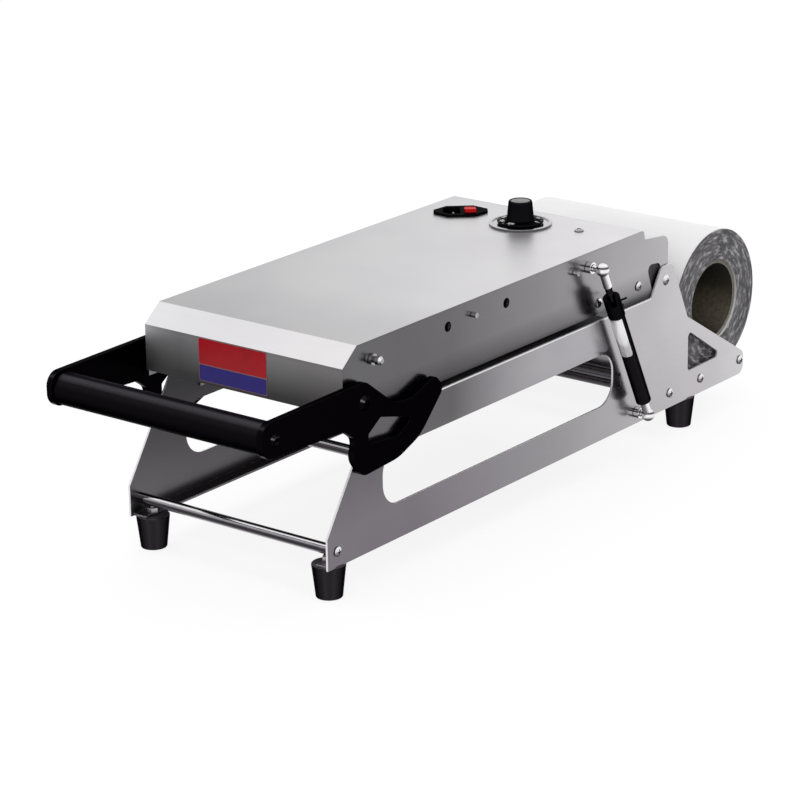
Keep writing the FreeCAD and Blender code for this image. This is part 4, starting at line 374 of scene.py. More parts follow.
polished_rod = polish("polished_rod", roughness=0.1, bands=[
    (-1, (170, 168, 171)), (-0.55, (160, 158, 161)), (-0.3, (66, 62, 68)), (0.12, (52, 48, 54)),
    (0.3, (84, 80, 86)), (0.42, (150, 147, 151)), (0.6, (158, 155, 159)), (0.72, (236, 235, 237)),
    (0.82, (238, 237, 239)), (0.9, (92, 88, 93)), (1, (84, 80, 86))])
dress(polished_rod, "front_tie_rod", "rear_tie_rod", "latch_bar", "front_roll_axle", "rear_roll_axle")
rolled_tube = polish("rolled_tube", roughness=0.22, bands=[
    (-1, (120, 118, 122)), (-0.2, (70, 67, 72)), (0.2, (74, 71, 76)), (0.45, (126, 123, 127)),
    (0.7, (196, 194, 197)), (0.88, (140, 138, 141)), (1, (120, 118, 122))])
dress(rolled_tube, "front_roll_roller", "rear_roll_roller", "lower_guide_roller", "upper_guide_roller")

# Screws, studs and bolts: nickel-plated steel with cross recesses, with painted shade in the recess and a
# painted highlight on the crown. Those at the rod ends, on the head's sides and in the posts are alike.
SCREW_RECESS = 1.6 * MM
plated = polish("plated_screw", roughness=0.2, bands=[
    (-1, (100, 98, 100)), (-0.4, (70, 68, 70)), (-0.05, (150, 148, 150)), (0.25, (234, 233, 234)),
    (0.6, (248, 247, 248)), (0.85, (170, 168, 170)), (1, (206, 204, 206))], recess=SCREW_RECESS)
dress(plated, "rod_end_screws", "panel_screws", "hinge_pins", "cover_screw", "foot_bolts", "hanging_bolts",
      "panel_studs", "stop_studs", "hinge_bushes")

# Feet: four tapered stoppers of moulded black rubber, with a painted sheen: lighter on the side towards the
# front lamp and on top. Each has a well from below, and a bolt with its head in the well holds it to the
# plate's flange.
FOOT_LIGHT_FROM = (0.66, -0.75, 0)
DULL_GLANCING = 0.42
rubber = polish("black_rubber", roughness=0.4, bands=[
    (-1, (13, 12, 13)), (0, (16, 15, 16)), (0.55, (22, 20, 22)), (0.85, (38, 35, 38)), (0.96, (50, 46, 50)),
    (1, (42, 39, 42))], towards=FOOT_LIGHT_FROM, glancing=DULL_GLANCING)
# A painted sheen on top: the upward faces are painted lighter.
rubber_facing = rubber.add("SeparateXYZ", {0: rubber.normal}).outputs
top_share = rubber.spread(rubber_facing["Z"], 0.5, 0.95)
painted_top_sheen = rubber.ramp(top_share, [(0, (44, 40, 44)), (1, (132, 128, 132))])
rubber.colour(rubber.mix(top_share, rubber.tone, painted_top_sheen))
rubber.relief(rubber.noise(scale=900, detail=3), strength=0.08, distance=0.3 * MM)
dress(rubber, "rubber_feet")
break_edges("rubber_feet", width=0.9 * MM)

# Cross panel and mould rails: folded from the same stainless sheet. They stand in the shade inside the frame,
# so their tone is painted dark, lighter towards the foot, as painted shade.
works_sheet = Finish("works_sheet", roughness=0.34, metallic=1.0)
works_tone = works_sheet.along("Z", [(40, (176, 174, 179)), (70, (160, 158, 163)), (112, (138, 136, 141))])
works_sheet.brush(works_tone, BRUSHED_ACROSS, depth=0.006, roughness=(0.26, 0.36), contrast=8)
dress(works_sheet, "rear_cross_panel", "left_mould_rail", "right_mould_rail")
break_edges("rear_cross_panel", "left_mould_rail", "right_mould_rail", width=0.25 * MM)

# Mould: a thick plate of milled aluminium, bead blasted and anodised dark, that holds the tray by its
# rim. A cord of silicone rubber sits in a rebate round the opening.
mould_metal = Finish("blasted_aluminium", roughness=0.5, metallic=1.0)
handling = mould_metal.noise(scale=24, detail=6)
mould_metal.colour(mould_metal.ramp(handling, [(0.3, (84, 83, 86)), (0.7, (112, 111, 114))]))
mould_metal.relief(mould_metal.noise(scale=1400), strength=0.2, distance=0.2 * MM)
dress(mould_metal, "tray_mould")
break_edges("tray_mould", width=0.5 * MM)

silicone = Finish("silicone_cord", roughness=0.6)
silicone.colour(silicone.ramp(silicone.noise(scale=60), [(0.3, (158, 74, 52)), (0.75, (178, 92, 66))]))
silicone.shader.inputs["Subsurface Weight"].default_value = 0.1
silicone.shader.inputs["Subsurface Scale"].default_value = 2 * MM
dress(silicone, "mould_gasket")
break_edges("mould_gasket", width=0.7 * MM)

# Head: one folded sheet makes its front, chamfer and top, two more its sides, and a fourth its back.
# Each face of the satin steel has its own painted tone, as a painted reflection of another part of the room,
# with painted shade low on the front and the sides.
HEAD_EDGE = 0.45 * MM
HIDDEN_EDGE = 0.2 * MM
HEAD_HALF_WIDTH = 112
HEAD_TOP_FRONT = 48
HEAD_TOP_REAR = 480
HEAD_TOP_UNDERSIDE = 189.5
# The top is painted lighter towards the back and on the right: painted reflection.
head_top = Finish("head_top", roughness=0.2, metallic=1.0)
top_left = head_top.along("Y", [
    (HEAD_TOP_FRONT, (178, 178, 179)), (200, (196, 196, 197)), (HEAD_TOP_REAR, (214, 214, 215))])
top_right = head_top.along("Y", [
    (HEAD_TOP_FRONT, (192, 192, 193)), (200, (220, 219, 220)), (HEAD_TOP_REAR, (234, 232, 233))])
top_across = head_top.spread(head_top.axes["X"], at(-HEAD_HALF_WIDTH, 0, 0).x, at(HEAD_HALF_WIDTH, 0, 0).x)
head_top.brush(head_top.mix(top_across, top_left, top_right), BRUSHED_ACROSS,
               depth=0.004, roughness=(0.34, 0.4), contrast=4)

# The chamfer is painted near white: painted reflection.
head_chamfer = Finish("head_chamfer", roughness=0.25, metallic=1.0)
chamfer_tone = head_chamfer.along("X", [
    (-HEAD_HALF_WIDTH, (237, 237, 238)), (0, (235, 234, 235)), (HEAD_HALF_WIDTH, (236, 233, 234))])
head_chamfer.brush(chamfer_tone, BRUSHED_ACROSS, depth=0.004, roughness=(0.3, 0.36), contrast=4)

# The front is painted darker towards its foot and lighter on the left: painted shade and painted light.
head_front = Finish("head_front", roughness=0.25, metallic=1.0)
front_tone = head_front.along("Z", [
    (132, (86, 85, 86)), (138, (94, 93, 94)), (147, (124, 123, 124)), (160, (160, 160, 161)),
    (171, (184, 183, 184)), (175, (178, 177, 178))])
front_painted_light = head_front.along("X", [
    (-HEAD_HALF_WIDTH, WHITE), (-72, (206, 206, 206)), (HEAD_HALF_WIDTH, (190, 188, 188))])
head_front.brush(head_front.times(front_tone, front_painted_light), BRUSHED_ACROSS,
                 depth=0.004, roughness=(0.56, 0.62), contrast=5)

# The sides are painted lighter towards the back and dark along the foot: painted reflection and painted
# shade.
head_side = Finish("head_side", roughness=0.25, metallic=1.0)
side_tone = head_side.along("Y", [
    (30, (101, 100, 102)), (180, (108, 106, 108)), (215, (118, 116, 118)), (285, (133, 130, 133)),
    (355, (148, 145, 148)), (440, (166, 164, 167)), (534, (186, 184, 186))])
side_foot_shade = head_side.along("Z", [(124, (84, 84, 84)), (131, (196, 196, 196)), (150, WHITE)])
head_side.brush(head_side.times(side_tone, side_foot_shade), BRUSHED_ALONG,
                depth=0.006, roughness=(0.18, 0.26), contrast=5)

# The insides are painted a little darker upwards: painted reflection.
head_inside = Finish("head_inside", roughness=0.35, metallic=1.0)
inside_tone = head_inside.along("Z", [(120, (170, 168, 171)), (190, (150, 148, 151))])
head_inside.brush(inside_tone, BRUSHED_ALONG, depth=0.006, roughness=(0.28, 0.4), contrast=8)

dress(head_top, "head_cover")
add_finishes("head_cover", head_chamfer, head_front, head_inside, head_side)
HEAD_TOP, HEAD_CHAMFER, HEAD_FRONT, HEAD_INSIDE, HEAD_SIDE = range(5)
SQUARE_ON = 0.9
SLANTED = 0.3
FACING_INWARDS = -0.5
for face in nodes["head_cover"].data.polygons:
    way = face.normal
    if abs(way.x) > SQUARE_ON:
        face.material_index = HEAD_SIDE
    elif way.z < -SLANTED or way.y > SQUARE_ON and face.center.z < at(0, 0, HEAD_TOP_UNDERSIDE).z:
        face.material_index = HEAD_INSIDE
    elif way.z > SQUARE_ON or way.y > SQUARE_ON:
        face.material_index = HEAD_TOP
    elif way.z > SLANTED:
        face.material_index = HEAD_CHAMFER
    else:
        face.material_index = HEAD_FRONT
for name, outward in (("right_head_panel", 1), ("left_head_panel", -1)):
    dress(head_side, name)
    add_finishes(name, head_inside)
    for face in nodes[name].data.polygons:
        face.material_index = 1 if face.normal.x * outward < FACING_INWARDS else 0
dress(head_side, "head_rear_panel")
dress(head_inside, "head_bridge")
# The hinge braces are painted dark steel with painted bands by facing, as painted shade inside the head.
shadow_steel = polish("shadow_steel", roughness=0.4, bands=[
    (-1, (52, 50, 52)), (0, (62, 60, 62)), (1, (96, 94, 96))])
dress(shadow_steel, "hinge_braces")
break_edges("head_cover", "right_head_panel", "left_head_panel", "head_rear_panel", width=HEAD_EDGE)
break_edges("head_bridge", "hinge_braces", width=HIDDEN_EDGE)

# Front label: a blank sticker of printed film on the head's front, red above blue, with a thin pale
# rim and rounded corners.
LABEL_SIDES = (-49.6, 28.3)
LABEL_HEIGHTS = (134.6, 174.3)
LABEL_SPLIT = 150
LABEL_RIM = 0.5
LABEL_GAUGE = 0.16
LABEL_ROUNDING = 1.6
LABEL_CORNER_STEPS = 6
head_front_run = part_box("head_cover")[0].y


def closed_mesh(name, builder):
    """The mesh that a builder holds, which is freed."""
    mesh = bpy.data.meshes.new(name)
    builder.to_mesh(mesh)
    builder.free()
    return mesh


def rounded_plate(name, centre, width, height, rounding, gauge, finish):
    """A thin upright plate with rounded corners that faces the handle."""
    builder = bmesh.new()
    rim = []
    for across, up, turn in ((1, 1, 0), (-1, 1, 90), (-1, -1, 180), (1, -1, 270)):
        for step in range(LABEL_CORNER_STEPS + 1):
            angle = math.radians(turn + step * 90 / LABEL_CORNER_STEPS)
            side = centre.x + across * (width / 2 - rounding) + math.cos(angle) * rounding
            level = centre.z + up * (height / 2 - rounding) + math.sin(angle) * rounding
            rim.append(builder.verts.new((side, centre.y, level)))
    face = builder.faces.new(rim)
    grown = bmesh.ops.extrude_face_region(builder, geom=[face])
    for vertex in [item for item in grown["geom"] if isinstance(item, bmesh.types.BMVert)]:
        vertex.co.y -= gauge
    bmesh.ops.recalc_face_normals(builder, faces=builder.faces)
    mesh = closed_mesh(name, builder)
    mesh.materials.append(finish.material)
    return put_in_scene(name, mesh)


def printed_film(name, colour, darker, sheen=0.0):
    """Printed film, faded in places, with the share of metal that its sheen asks for."""
    film = Finish(name, roughness=0.35, metallic=sheen)
    film.colour(film.ramp(film.noise(scale=70, detail=4), [(0.3, darker), (0.7, colour)]))
    film.shader.inputs["Specular IOR Level"].default_value = 0.3
    return film


label_pale = printed_film("label_pale", (168, 120, 122), (150, 104, 106))
label_red = printed_film("label_red", (204, 16, 34), (184, 12, 28))
label_blue = printed_film("label_blue", (40, 24, 142), (32, 20, 122))
label_middle = (LABEL_SIDES[0] + LABEL_SIDES[1]) / 2
label_width = LABEL_SIDES[1] - LABEL_SIDES[0]
for name, low, high, inset, lift, finish in (
    ("label_backing", LABEL_HEIGHTS[0], LABEL_HEIGHTS[1], 0, 0, label_pale),
    ("label_upper_field", LABEL_SPLIT, LABEL_HEIGHTS[1], LABEL_RIM, LABEL_GAUGE, label_red),
    ("label_lower_field", LABEL_HEIGHTS[0], LABEL_SPLIT, LABEL_RIM, LABEL_GAUGE, label_blue),
):
    place_on_front = at(label_middle, 0, (low + high) / 2)
    place_on_front.y = head_front_run - lift * MM
    width = (label_width - inset * 2) * MM
    height = (high - low - inset * 2) * MM
    gauge = LABEL_GAUGE * MM if inset == 0 else LABEL_GAUGE * MM / 2
    sticker = rounded_plate(name, place_on_front, width, height, LABEL_ROUNDING * MM, gauge, finish)
    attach(sticker, "head")

# Heater: a cast aluminium plate with two cartridge rods, a brown release sheet under it, a pale fibre
# pad on top, and the thin toothed knife that hangs round it from the bridge.
CAST_GRAIN = (700, 60, 700)
cast_metal = Finish("cast_aluminium", roughness=0.45, metallic=1.0)
cast_metal.brush(shade(150, 150, 152), CAST_GRAIN, depth=0.1, roughness=(0.35, 0.55), contrast=22)
dress(cast_metal, "heating_plate", "thermostat")
# The heater rods, sensor, knob spindle and knife take painted bands by which way each face points, as painted
# light and shade.
steel_rods = polish("steel_rods", roughness=0.3, bands=[
    (-1, (96, 92, 88)), (0, (150, 146, 140)), (1, (120, 116, 112))])
dress(steel_rods, "heater_rods", "heat_sensor")
knife_steel = polish("knife_steel", roughness=0.18, bands=[
    (-1, (200, 200, 203)), (0, (168, 168, 171)), (1, (140, 140, 143))])
dress(knife_steel, "knife_frame")

RELEASE_THREADS = 420
release = Finish("release_sheet", roughness=0.5)
warp, weft = [
    release.add("TexWave", {"Scale": RELEASE_THREADS, "Vector": release.place}, wave_type="BANDS",
                bands_direction=across).outputs["Color"]
    for across in "XY"]
cloth = release.mix(0.5, warp, weft)
release.colour(release.ramp(cloth, [(0, (104, 70, 44)), (1, (138, 98, 64))]))
release.relief(cloth, strength=0.3, distance=0.2 * MM)
dress(release, "release_sheet")

fibre = Finish("ceramic_fibre", roughness=0.9)
hairs = fibre.noise(scale=500, detail=6)
fibre.colour(fibre.ramp(hairs, [(0.3, (196, 190, 178)), (0.7, (222, 218, 208))]))
fibre.relief(hairs, strength=0.6, distance=0.4 * MM)
dress(fibre, "insulation_pad")

# Dial: a turned disc of bright aluminium with a raised rim. It is pressed onto the head's top, and the
# knob's skirt turns over it.
# The dial takes painted reflection bands by which way each face points.
dial_metal = polish("dial_metal", roughness=0.16, bands=[
    (-1, (120, 118, 120)), (-0.1, (110, 108, 110)), (0.15, (84, 82, 84)), (0.45, (236, 235, 236)),
    (0.75, (150, 148, 150)), (1, (198, 197, 198))])
dress(dial_metal, "dial_disc")
break_edges("dial_disc", width=0.3 * MM)

# Knob: black moulded plastic, a ribbed grip on a flat skirt, with a grey cap, and plain white numbers
# and ticks round the skirt. It turns on a steel spindle.
KNOB_RIBS = 40
KNOB_RIB_DEPTH = 0.28 * MM
KNOB_SKIRT_RADIUS = 22.5 * MM
KNOB_SKIRT_EDGE = 0.3 * MM
KNOB_SKIRT_THICKNESS = 1.3 * MM
KNOB_LOW_RADIUS = 13.2 * MM
KNOB_HIGH_RADIUS = 11.6 * MM
KNOB_RIBS_LOW = 4.0 * MM
KNOB_RIBS_HIGH = 19.2 * MM
KNOB_CAP_RADIUS = 9.6 * MM
KNOB_CAP_SUNK = 0.9 * MM
KNOB_HEIGHT = 21 * MM
KNOB_STEPS = 240
CAP_STEPS = 96
TURNED_SHARP_FROM = math.radians(32)
knob_low, knob_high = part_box("control_knob")
knob_axis = Vector(((knob_low.x + knob_high.x) / 2, (knob_low.y + knob_high.y) / 2, knob_low.z))


def turned(name, profile, steps, finish, ribs=0, rib_depth=0.0, ribbed=()):
    """A turned piece about an upright axis: the profile gives radius and height, bottom to top."""
    builder = bmesh.new()
    rings = []
    for number, (radius, height) in enumerate(profile):
        ring = []
        for step in range(steps):
            angle = math.tau * step / steps
            cut = rib_depth * (0.5 + 0.5 * math.cos(angle * ribs)) ** 2 if number in ribbed else 0
            place = ((radius - cut) * math.cos(angle), (radius - cut) * math.sin(angle), height)
            ring.append(builder.verts.new(place))
        rings.append(ring)
    for lower, upper in zip(rings, rings[1:]):
        for step in range(steps):
            following = (step + 1) % steps
            builder.faces.new((lower[step], lower[following], upper[following], upper[step]))
    builder.faces.new(rings[-1])
    builder.faces.new(list(reversed(rings[0])))
    mesh = closed_mesh(name, builder)
    for face in mesh.polygons:
        face.use_smooth = True
    mesh.set_sharp_from_angle(angle=TURNED_SHARP_FROM)
    mesh.materials.append(finish.material)
    return put_in_scene(name, mesh)


# The knob's plastic and its cap take painted bands by which way each face points: a painted sheen, lighter on
# the upper faces.
bakelite = polish("knob_plastic", roughness=0.34, bands=[
    (-1, (14, 13, 15)), (0, (17, 16, 18)), (0.4, (24, 23, 26)), (0.75, (34, 33, 36)), (1, (30, 29, 32))],
    glancing=DULL_GLANCING)
knob_profile = (
    (KNOB_SKIRT_RADIUS - KNOB_SKIRT_EDGE, 0), (KNOB_SKIRT_RADIUS, KNOB_SKIRT_EDGE),
    (KNOB_SKIRT_RADIUS, 1.0 * MM), (KNOB_SKIRT_RADIUS - KNOB_SKIRT_EDGE, KNOB_SKIRT_THICKNESS),
    (KNOB_LOW_RADIUS + 0.7 * MM, 2.5 * MM), (KNOB_LOW_RADIUS + 0.1 * MM, 2.75 * MM),
    (KNOB_LOW_RADIUS - 0.05 * MM, 3.4 * MM), (KNOB_LOW_RADIUS - 0.1 * MM, KNOB_RIBS_LOW),
    (KNOB_HIGH_RADIUS + 0.06 * MM, KNOB_RIBS_HIGH), (KNOB_HIGH_RADIUS - 0.1 * MM, 19.9 * MM),
    (KNOB_HIGH_RADIUS - 0.6 * MM, 20.7 * MM), (KNOB_HIGH_RADIUS - 1.2 * MM, KNOB_HEIGHT),
    (KNOB_CAP_RADIUS + 0.1 * MM, KNOB_HEIGHT), (KNOB_CAP_RADIUS, KNOB_HEIGHT - 0.1 * MM),
    (KNOB_CAP_RADIUS, KNOB_HEIGHT - KNOB_CAP_SUNK),
)
ribbed_rings = [number for number, (radius, height) in enumerate(knob_profile)
                if KNOB_RIBS_LOW <= height <= KNOB_RIBS_HIGH]
knob_grip = turned("knob_grip", knob_profile, KNOB_STEPS, bakelite, KNOB_RIBS, KNOB_RIB_DEPTH, ribbed_rings)
knob_grip.location = knob_axis
cap_metal = polish("knob_cap_metal", roughness=0.3, bands=[
    (-1, (130, 130, 131)), (0.6, (150, 150, 151)), (1, (128, 128, 129))])
cap_profile = (
    (KNOB_CAP_RADIUS - 0.15 * MM, KNOB_HEIGHT - KNOB_CAP_SUNK),
    (KNOB_CAP_RADIUS - 0.15 * MM, KNOB_HEIGHT - 0.5 * MM),
    (KNOB_CAP_RADIUS - 0.6 * MM, KNOB_HEIGHT - 0.25 * MM),
    (KNOB_CAP_RADIUS * 0.6, KNOB_HEIGHT - 0.12 * MM),
    (KNOB_CAP_RADIUS * 0.2, KNOB_HEIGHT - 0.05 * MM),
)
knob_cap = turned("knob_cap", cap_profile, CAP_STEPS, cap_metal)
knob_cap.location = knob_axis
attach(knob_grip, "knob")
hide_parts("control_knob")
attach(knob_cap, "knob")

dial_white = Finish("dial_white", roughness=0.5)
ink_grain = dial_white.noise(scale=1200)
dial_white.colour(dial_white.ramp(ink_grain, [(0.3, (206, 206, 204)), (0.7, (232, 232, 230))]))
SKIRT_FALL = 1.2
SKIRT_RUN = 8.6
SKIRT_SLOPE = math.atan2(SKIRT_FALL, SKIRT_RUN)
NUMBER_RADIUS = 18.2 * MM
NUMBER_TURN = 5
NUMBER_STEP = 45
NUMBER_SIZE = 5.0 * MM
NUMBER_RELIEF = 0.06 * MM
NUMBER_WEIGHT = 0.1 * MM
NUMBER_SPACING = 0.95
NUMBER_LIFT = 0.05 * MM
TICKS = 13
TICK_WIDTH = 0.45 * MM
TICK_GAUGE = 0.12 * MM
TICK_INSET = 0.55 * MM
TICK_LIFT = 0.03 * MM
LONG_TICK = 2.6 * MM
SHORT_TICK = 1.5 * MM


def on_skirt(radius, turn, lift):
    """A place on the skirt's slope for a flat piece, its top towards the grip."""
    height = KNOB_SKIRT_THICKNESS + (KNOB_SKIRT_RADIUS - radius) * math.tan(SKIRT_SLOPE) + lift
    angle = math.radians(turn)
    return (Matrix.Translation(knob_axis) @ Matrix.Rotation(angle + math.pi / 2, 4, "Z")
            @ Matrix.Translation((0, -radius, height)) @ Matrix.Rotation(SKIRT_SLOPE, 4, "X"))


for number, figure in enumerate(("0", "50", "100", "150", "200", "250", "300")):
    text = bpy.data.curves.new("dial_number_" + figure, "FONT")
    text.body = figure
    text.size = NUMBER_SIZE
    text.extrude = NUMBER_RELIEF
    text.offset = NUMBER_WEIGHT
    text.align_x = "CENTER"
    text.align_y = "CENTER"
    text.space_character = NUMBER_SPACING
    text.materials.append(dial_white.material)
    figures = put_in_scene("dial_number_" + figure, text)
    figures.matrix_world = on_skirt(NUMBER_RADIUS, NUMBER_TURN + number * NUMBER_STEP, NUMBER_LIFT)
    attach(figures, "knob")

tick_builder = bmesh.new()
for number in range(TICKS):
    length = SHORT_TICK if number % 2 == 0 else LONG_TICK
    radius = KNOB_SKIRT_RADIUS - TICK_INSET - length / 2
    tick = bmesh.ops.create_cube(tick_builder, size=1)["verts"]
    bmesh.ops.scale(tick_builder, vec=(TICK_WIDTH, length, TICK_GAUGE), verts=tick)
    tick_place = on_skirt(radius, NUMBER_TURN + number * NUMBER_STEP / 2, TICK_LIFT)
    bmesh.ops.transform(tick_builder, matrix=tick_place, verts=tick)
tick_mesh = closed_mesh("dial_ticks", tick_builder)
tick_mesh.materials.append(dial_white.material)
dial_ticks = put_in_scene("dial_ticks", tick_mesh)
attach(dial_ticks, "knob")
dress(steel_rods, "knob_spindle")

# Power inlet: a black plastic module with the socket for a mains lead, its three blades, and a red
# rocker switch beside them.
# The inlet's plastic and its blades take painted bands by which way each face points: a painted sheen on the
# plastic and painted bright reflections on the blades.
inlet_plastic = polish("inlet_plastic", roughness=0.4, bands=[
    (-1, (12, 11, 12)), (0, (16, 15, 17)), (0.6, (30, 29, 32)), (0.95, (22, 22, 24)), (1, (22, 22, 24))],
    glancing=DULL_GLANCING)
dress(inlet_plastic, "inlet_housing")
break_edges("inlet_housing", width=0.5 * MM)
pin_plating = polish("pin_plating", roughness=0.3, bands=[
    (-1, (230, 230, 232)), (0, (254, 254, 254)), (1, (254, 254, 254))])
dress(pin_plating, "inlet_pins")
break_edges("inlet_pins", width=0.3 * MM)
rocker_red = Finish("rocker_red", roughness=0.5)
rocker_red.colour(rocker_red.ramp(rocker_red.noise(scale=160), [(0.3, (196, 8, 14)), (0.7, (214, 14, 22))]))
rocker_red.shader.inputs["Specular IOR Level"].default_value = 0.15
dress(rocker_red, "rocker_switch")
break_edges("rocker_switch", width=0.5 * MM)

# Handle: two cam-shaped arms of thick steel plate under gloss black paint, a black grip bar between
# them, and button-headed bolts of black oxide steel.
# The arms, grip and bolts take painted bands by which way each face points: a painted highlight on the arms'
# downward edges, a painted sheen along the grip's top and painted glints on the bolts.
arm_paint = polish("arm_paint", roughness=0.3, bands=[
    (-1, (34, 31, 36)), (-0.8, (26, 23, 28)), (-0.7, (140, 137, 142)), (-0.62, (18, 15, 18)),
    (-0.4, (14, 11, 14)), (0.3, (11, 8, 11)), (0.6, (16, 13, 16)), (0.72, (52, 49, 53)), (0.86, (22, 19, 23)),
    (1, (20, 17, 21))], glancing=DULL_GLANCING)
dress(arm_paint, "left_arm", "right_arm")
break_edges("left_arm", "right_arm", width=0.8 * MM)
grip_plastic = polish("grip_plastic", roughness=0.36, bands=[
    (-1, (12, 11, 13)), (-0.2, (14, 12, 15)), (0.35, (18, 16, 19)), (0.7, (30, 28, 31)), (0.86, (66, 64, 68)),
    (0.94, (70, 68, 72)), (0.985, (36, 34, 38)), (1, (34, 32, 36))], glancing=DULL_GLANCING)
dress(grip_plastic, "grip_bar")
oxide = polish("black_oxide", roughness=0.25, bands=[
    (-1, (10, 8, 10)), (0.1, (12, 10, 12)), (0.3, (20, 18, 21)), (0.42, (120, 118, 121)),
    (0.56, (30, 28, 31)), (1, (24, 22, 25))], glancing=DULL_GLANCING)
dress(oxide, "grip_screws", "pivot_bolts", "pivot_spacers")
break_edges("grip_screws", width=0.25 * MM)

# Gas spring: a black lacquered tube with a plastic cap and a dark rod, between two plated ball
# sockets on ball studs, with a blank white label that goes part of the way round the tube.
SOCKET_RECESS = 1.5 * MM
TUBE_LIGHT_FROM = (0.2, -0.95, 0.2)
# The tube, rod, cap and ball sockets take painted bands by which way each face points: painted highlights and
# reflections, and painted shade in the sockets' hollows.
lacquer = polish("spring_lacquer", roughness=0.25, bands=[
    (-1, (18, 15, 19)), (0, (22, 19, 23)), (0.4, (30, 27, 31)), (0.8, (24, 21, 25)), (0.95, (52, 48, 54)),
    (1, (44, 40, 46))], towards=TUBE_LIGHT_FROM, glancing=DULL_GLANCING)
dress(lacquer, "spring_tube")
dress(bakelite, "spring_cap")
dark_rod = polish("dark_rod", roughness=0.15, bands=[
    (-1, (34, 32, 34)), (0, (26, 24, 26)), (0.5, (44, 42, 45)), (1, (34, 32, 35))], glancing=DULL_GLANCING)
dress(dark_rod, "piston_rod")
bright_chrome = polish("bright_chrome", roughness=0.12, bands=[
    (-1, (58, 55, 59)), (-0.6, (44, 41, 45)), (-0.38, (120, 118, 121)), (-0.15, (246, 245, 247)),
    (0.2, (252, 252, 252)), (0.34, (86, 83, 87)), (0.48, (70, 67, 71)), (0.6, (236, 235, 237)),
    (0.85, (252, 252, 252)), (1, (232, 231, 233))], recess=SOCKET_RECESS)
dress(bright_chrome, "upper_ball_socket", "lower_ball_socket", "upper_ball_stud", "lower_ball_stud")

SPRING_TOP = (129, 396, 177.2)
SPRING_FOOT = (129, 476.5, 12)
SPRING_LABEL_RUN = (56.4, 102.5)
SPRING_LABEL_SWEEP = (-115, 22)
SPRING_LABEL_RADIUS = 7.62
SPRING_LABEL_CORNER = 3
SPRING_LABEL_GAUGE = 0.08 * MM
SPRING_LABEL_STEPS = 60
SPRING_LABEL_FACES = (0.5816, -0.747, 0.3214)
spring_top = at(*SPRING_TOP)
spring_axis = (at(*SPRING_FOOT) - spring_top).normalized()
label_front = Vector(SPRING_LABEL_FACES)
label_front = (label_front - spring_axis * label_front.dot(spring_axis)).normalized()
label_right = label_front.cross(spring_axis)
spring_label_paper = printed_film("spring_label_paper", (253, 253, 253), (247, 247, 247), 0.7)
builder = bmesh.new()
columns = []
sweep_low, sweep_high = SPRING_LABEL_SWEEP
for step in range(SPRING_LABEL_STEPS + 1):
    turn = sweep_low + (sweep_high - sweep_low) * step / SPRING_LABEL_STEPS
    from_side = math.radians(min(turn - sweep_low, sweep_high - turn)) * SPRING_LABEL_RADIUS
    inset = max(0, SPRING_LABEL_CORNER - from_side)
    lift = SPRING_LABEL_CORNER - math.sqrt(SPRING_LABEL_CORNER ** 2 - inset ** 2)
    angle = math.radians(turn)
    outwards = (label_front * math.cos(angle) + label_right * math.sin(angle)) * SPRING_LABEL_RADIUS
    columns.append([builder.verts.new(spring_top + (spring_axis * distance + outwards) * MM)
                    for distance in (SPRING_LABEL_RUN[0], SPRING_LABEL_RUN[1] - lift)])
for left, right in zip(columns, columns[1:]):
    builder.faces.new((left[0], left[1], right[1], right[0]))
bmesh.ops.recalc_face_normals(builder, faces=builder.faces)
label_mesh = closed_mesh("spring_label", builder)
for face in label_mesh.polygons:
    face.use_smooth = True
label_mesh.materials.append(spring_label_paper.material)
spring_label = put_in_scene("spring_label", label_mesh)
thickness = spring_label.modifiers.new("paper_thickness", "SOLIDIFY")
thickness.thickness = SPRING_LABEL_GAUGE
thickness.offset = 0
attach(spring_label, "spring_cylinder")

# Film roll: white sealing film wound on a grey card core. The cut edges of its turns make the mottled grey
# end faces, with fine rings, and the core's wall inside is painted from dark to light along one direction, as
# painted light and shade.
CORE_LIT_FROM = (0, 0.9, -0.6)
CORE_LIGHT_CHANGE = 26
WOUND_STRETCH = (270, 5, 1)
card = Finish("card_core", roughness=0.85)
card.colour(card.ramp(card.noise(scale=420, detail=6), [(0.3, (132, 126, 118)), (0.7, (176, 170, 162))]))
dress(card, "film_core")
core_low, core_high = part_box("film_core")
core_middle = (core_low + core_high) / 2
core_inside = Finish("core_inside", roughness=0.8)
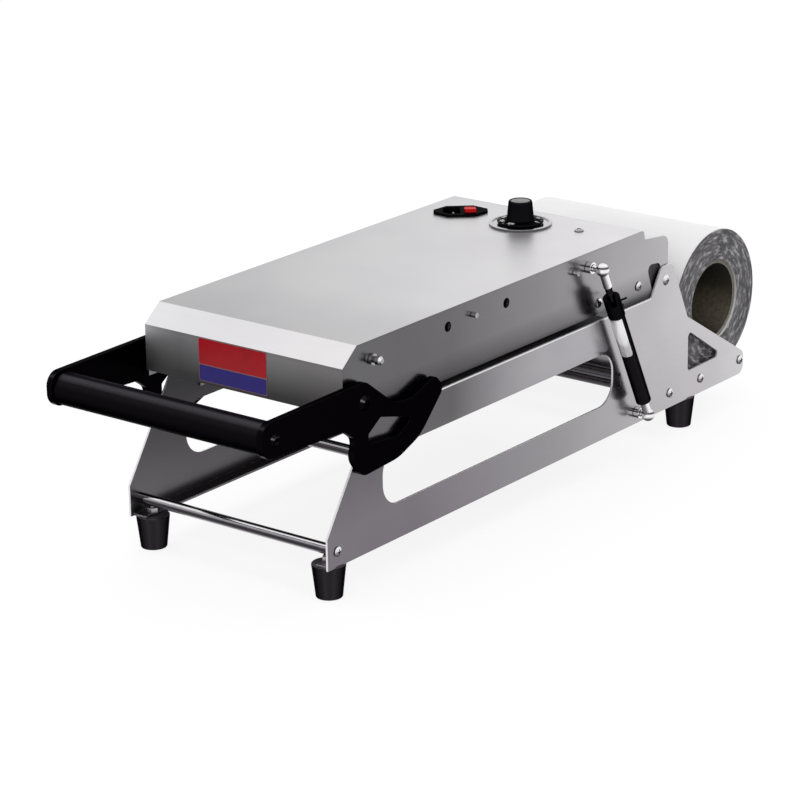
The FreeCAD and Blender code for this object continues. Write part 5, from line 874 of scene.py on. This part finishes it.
# Painted light inside the core: its wall is painted dark to light along one direction.
from_core = core_inside.add("VectorMath", {0: core_inside.place, 1: core_middle}, operation="SUBTRACT")
wall_light = core_inside.add(
    "VectorMath", {0: from_core.outputs[0], 1: Vector(CORE_LIT_FROM).normalized() * CORE_LIGHT_CHANGE},
    operation="DOT_PRODUCT").outputs["Value"]
wall_tone = core_inside.ramp(wall_light, [
    (-1, (16, 15, 12)), (0.3, (34, 31, 24)), (0.75, (66, 60, 48)), (1, (120, 112, 96))])
wall_grain = core_inside.noise(scale=300, detail=5)
wall_speckle = core_inside.ramp(wall_grain, [(0.3, (190, 190, 190)), (0.7, WHITE)])
core_inside.colour(core_inside.times(wall_tone, wall_speckle))
add_finishes("film_core", core_inside)
for face in nodes["film_core"].data.polygons:
    from_core_axis = face.center - core_middle
    from_core_axis.x = 0
    face.material_index = 1 if face.normal.dot(from_core_axis.normalized()) < FACING_INWARDS else 0

film_skin = Finish("film_skin", roughness=0.28)
film_cloud = film_skin.noise(scale=12)
film_skin.colour(film_skin.ramp(film_cloud, [(0.3, (246, 246, 247)), (0.7, (252, 252, 252))]))
film_skin.relief(film_cloud, strength=0.06, distance=0.5 * MM)
dress(film_skin, "film_winding")

film_low, film_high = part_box("film_winding")
film_edges = Finish("film_edges", roughness=0.55)
from_axis = film_edges.add("VectorMath", {0: film_edges.place, 1: (film_low + film_high) / 2},
                           operation="SUBTRACT").outputs[0]
in_end_face = film_edges.add("VectorMath", {0: from_axis, 1: (0, 1, 1)}, operation="MULTIPLY").outputs[0]
from_middle = film_edges.add("VectorMath", {0: in_end_face}, operation="LENGTH").outputs["Value"]
around = film_edges.add("SeparateXYZ", {0: from_axis}).outputs
bearing = film_edges.add("Math", {0: around["Z"], 1: around["Y"]}, operation="ARCTAN2").outputs[0]
wound = film_edges.add("CombineXYZ", {"X": from_middle, "Y": bearing}).outputs[0]
wound = film_edges.add("Mapping", {"Vector": wound, "Scale": WOUND_STRETCH}).outputs[0]
turns = film_edges.noise(scale=1, detail=5, roughness=0.6, place=wound)
turn_tone = film_edges.ramp(turns, [
    (0.39, (10, 9, 11)), (0.47, (68, 65, 69)), (0.53, (116, 113, 117)), (0.64, (240, 238, 240))])
mottle = film_edges.noise(scale=46, detail=8, roughness=0.7)
mottle_tone = film_edges.ramp(mottle, [(0.35, (40, 38, 40)), (0.65, (190, 188, 191))])
film_edges.colour(film_edges.mix(0.3, turn_tone, mottle_tone))
film_edges.relief(turns, strength=0.3, distance=0.2 * MM)
add_finishes("film_winding", film_edges)
for face in nodes["film_winding"].data.polygons:
    face.material_index = 1 if abs(face.normal.x) > SQUARE_ON else 0
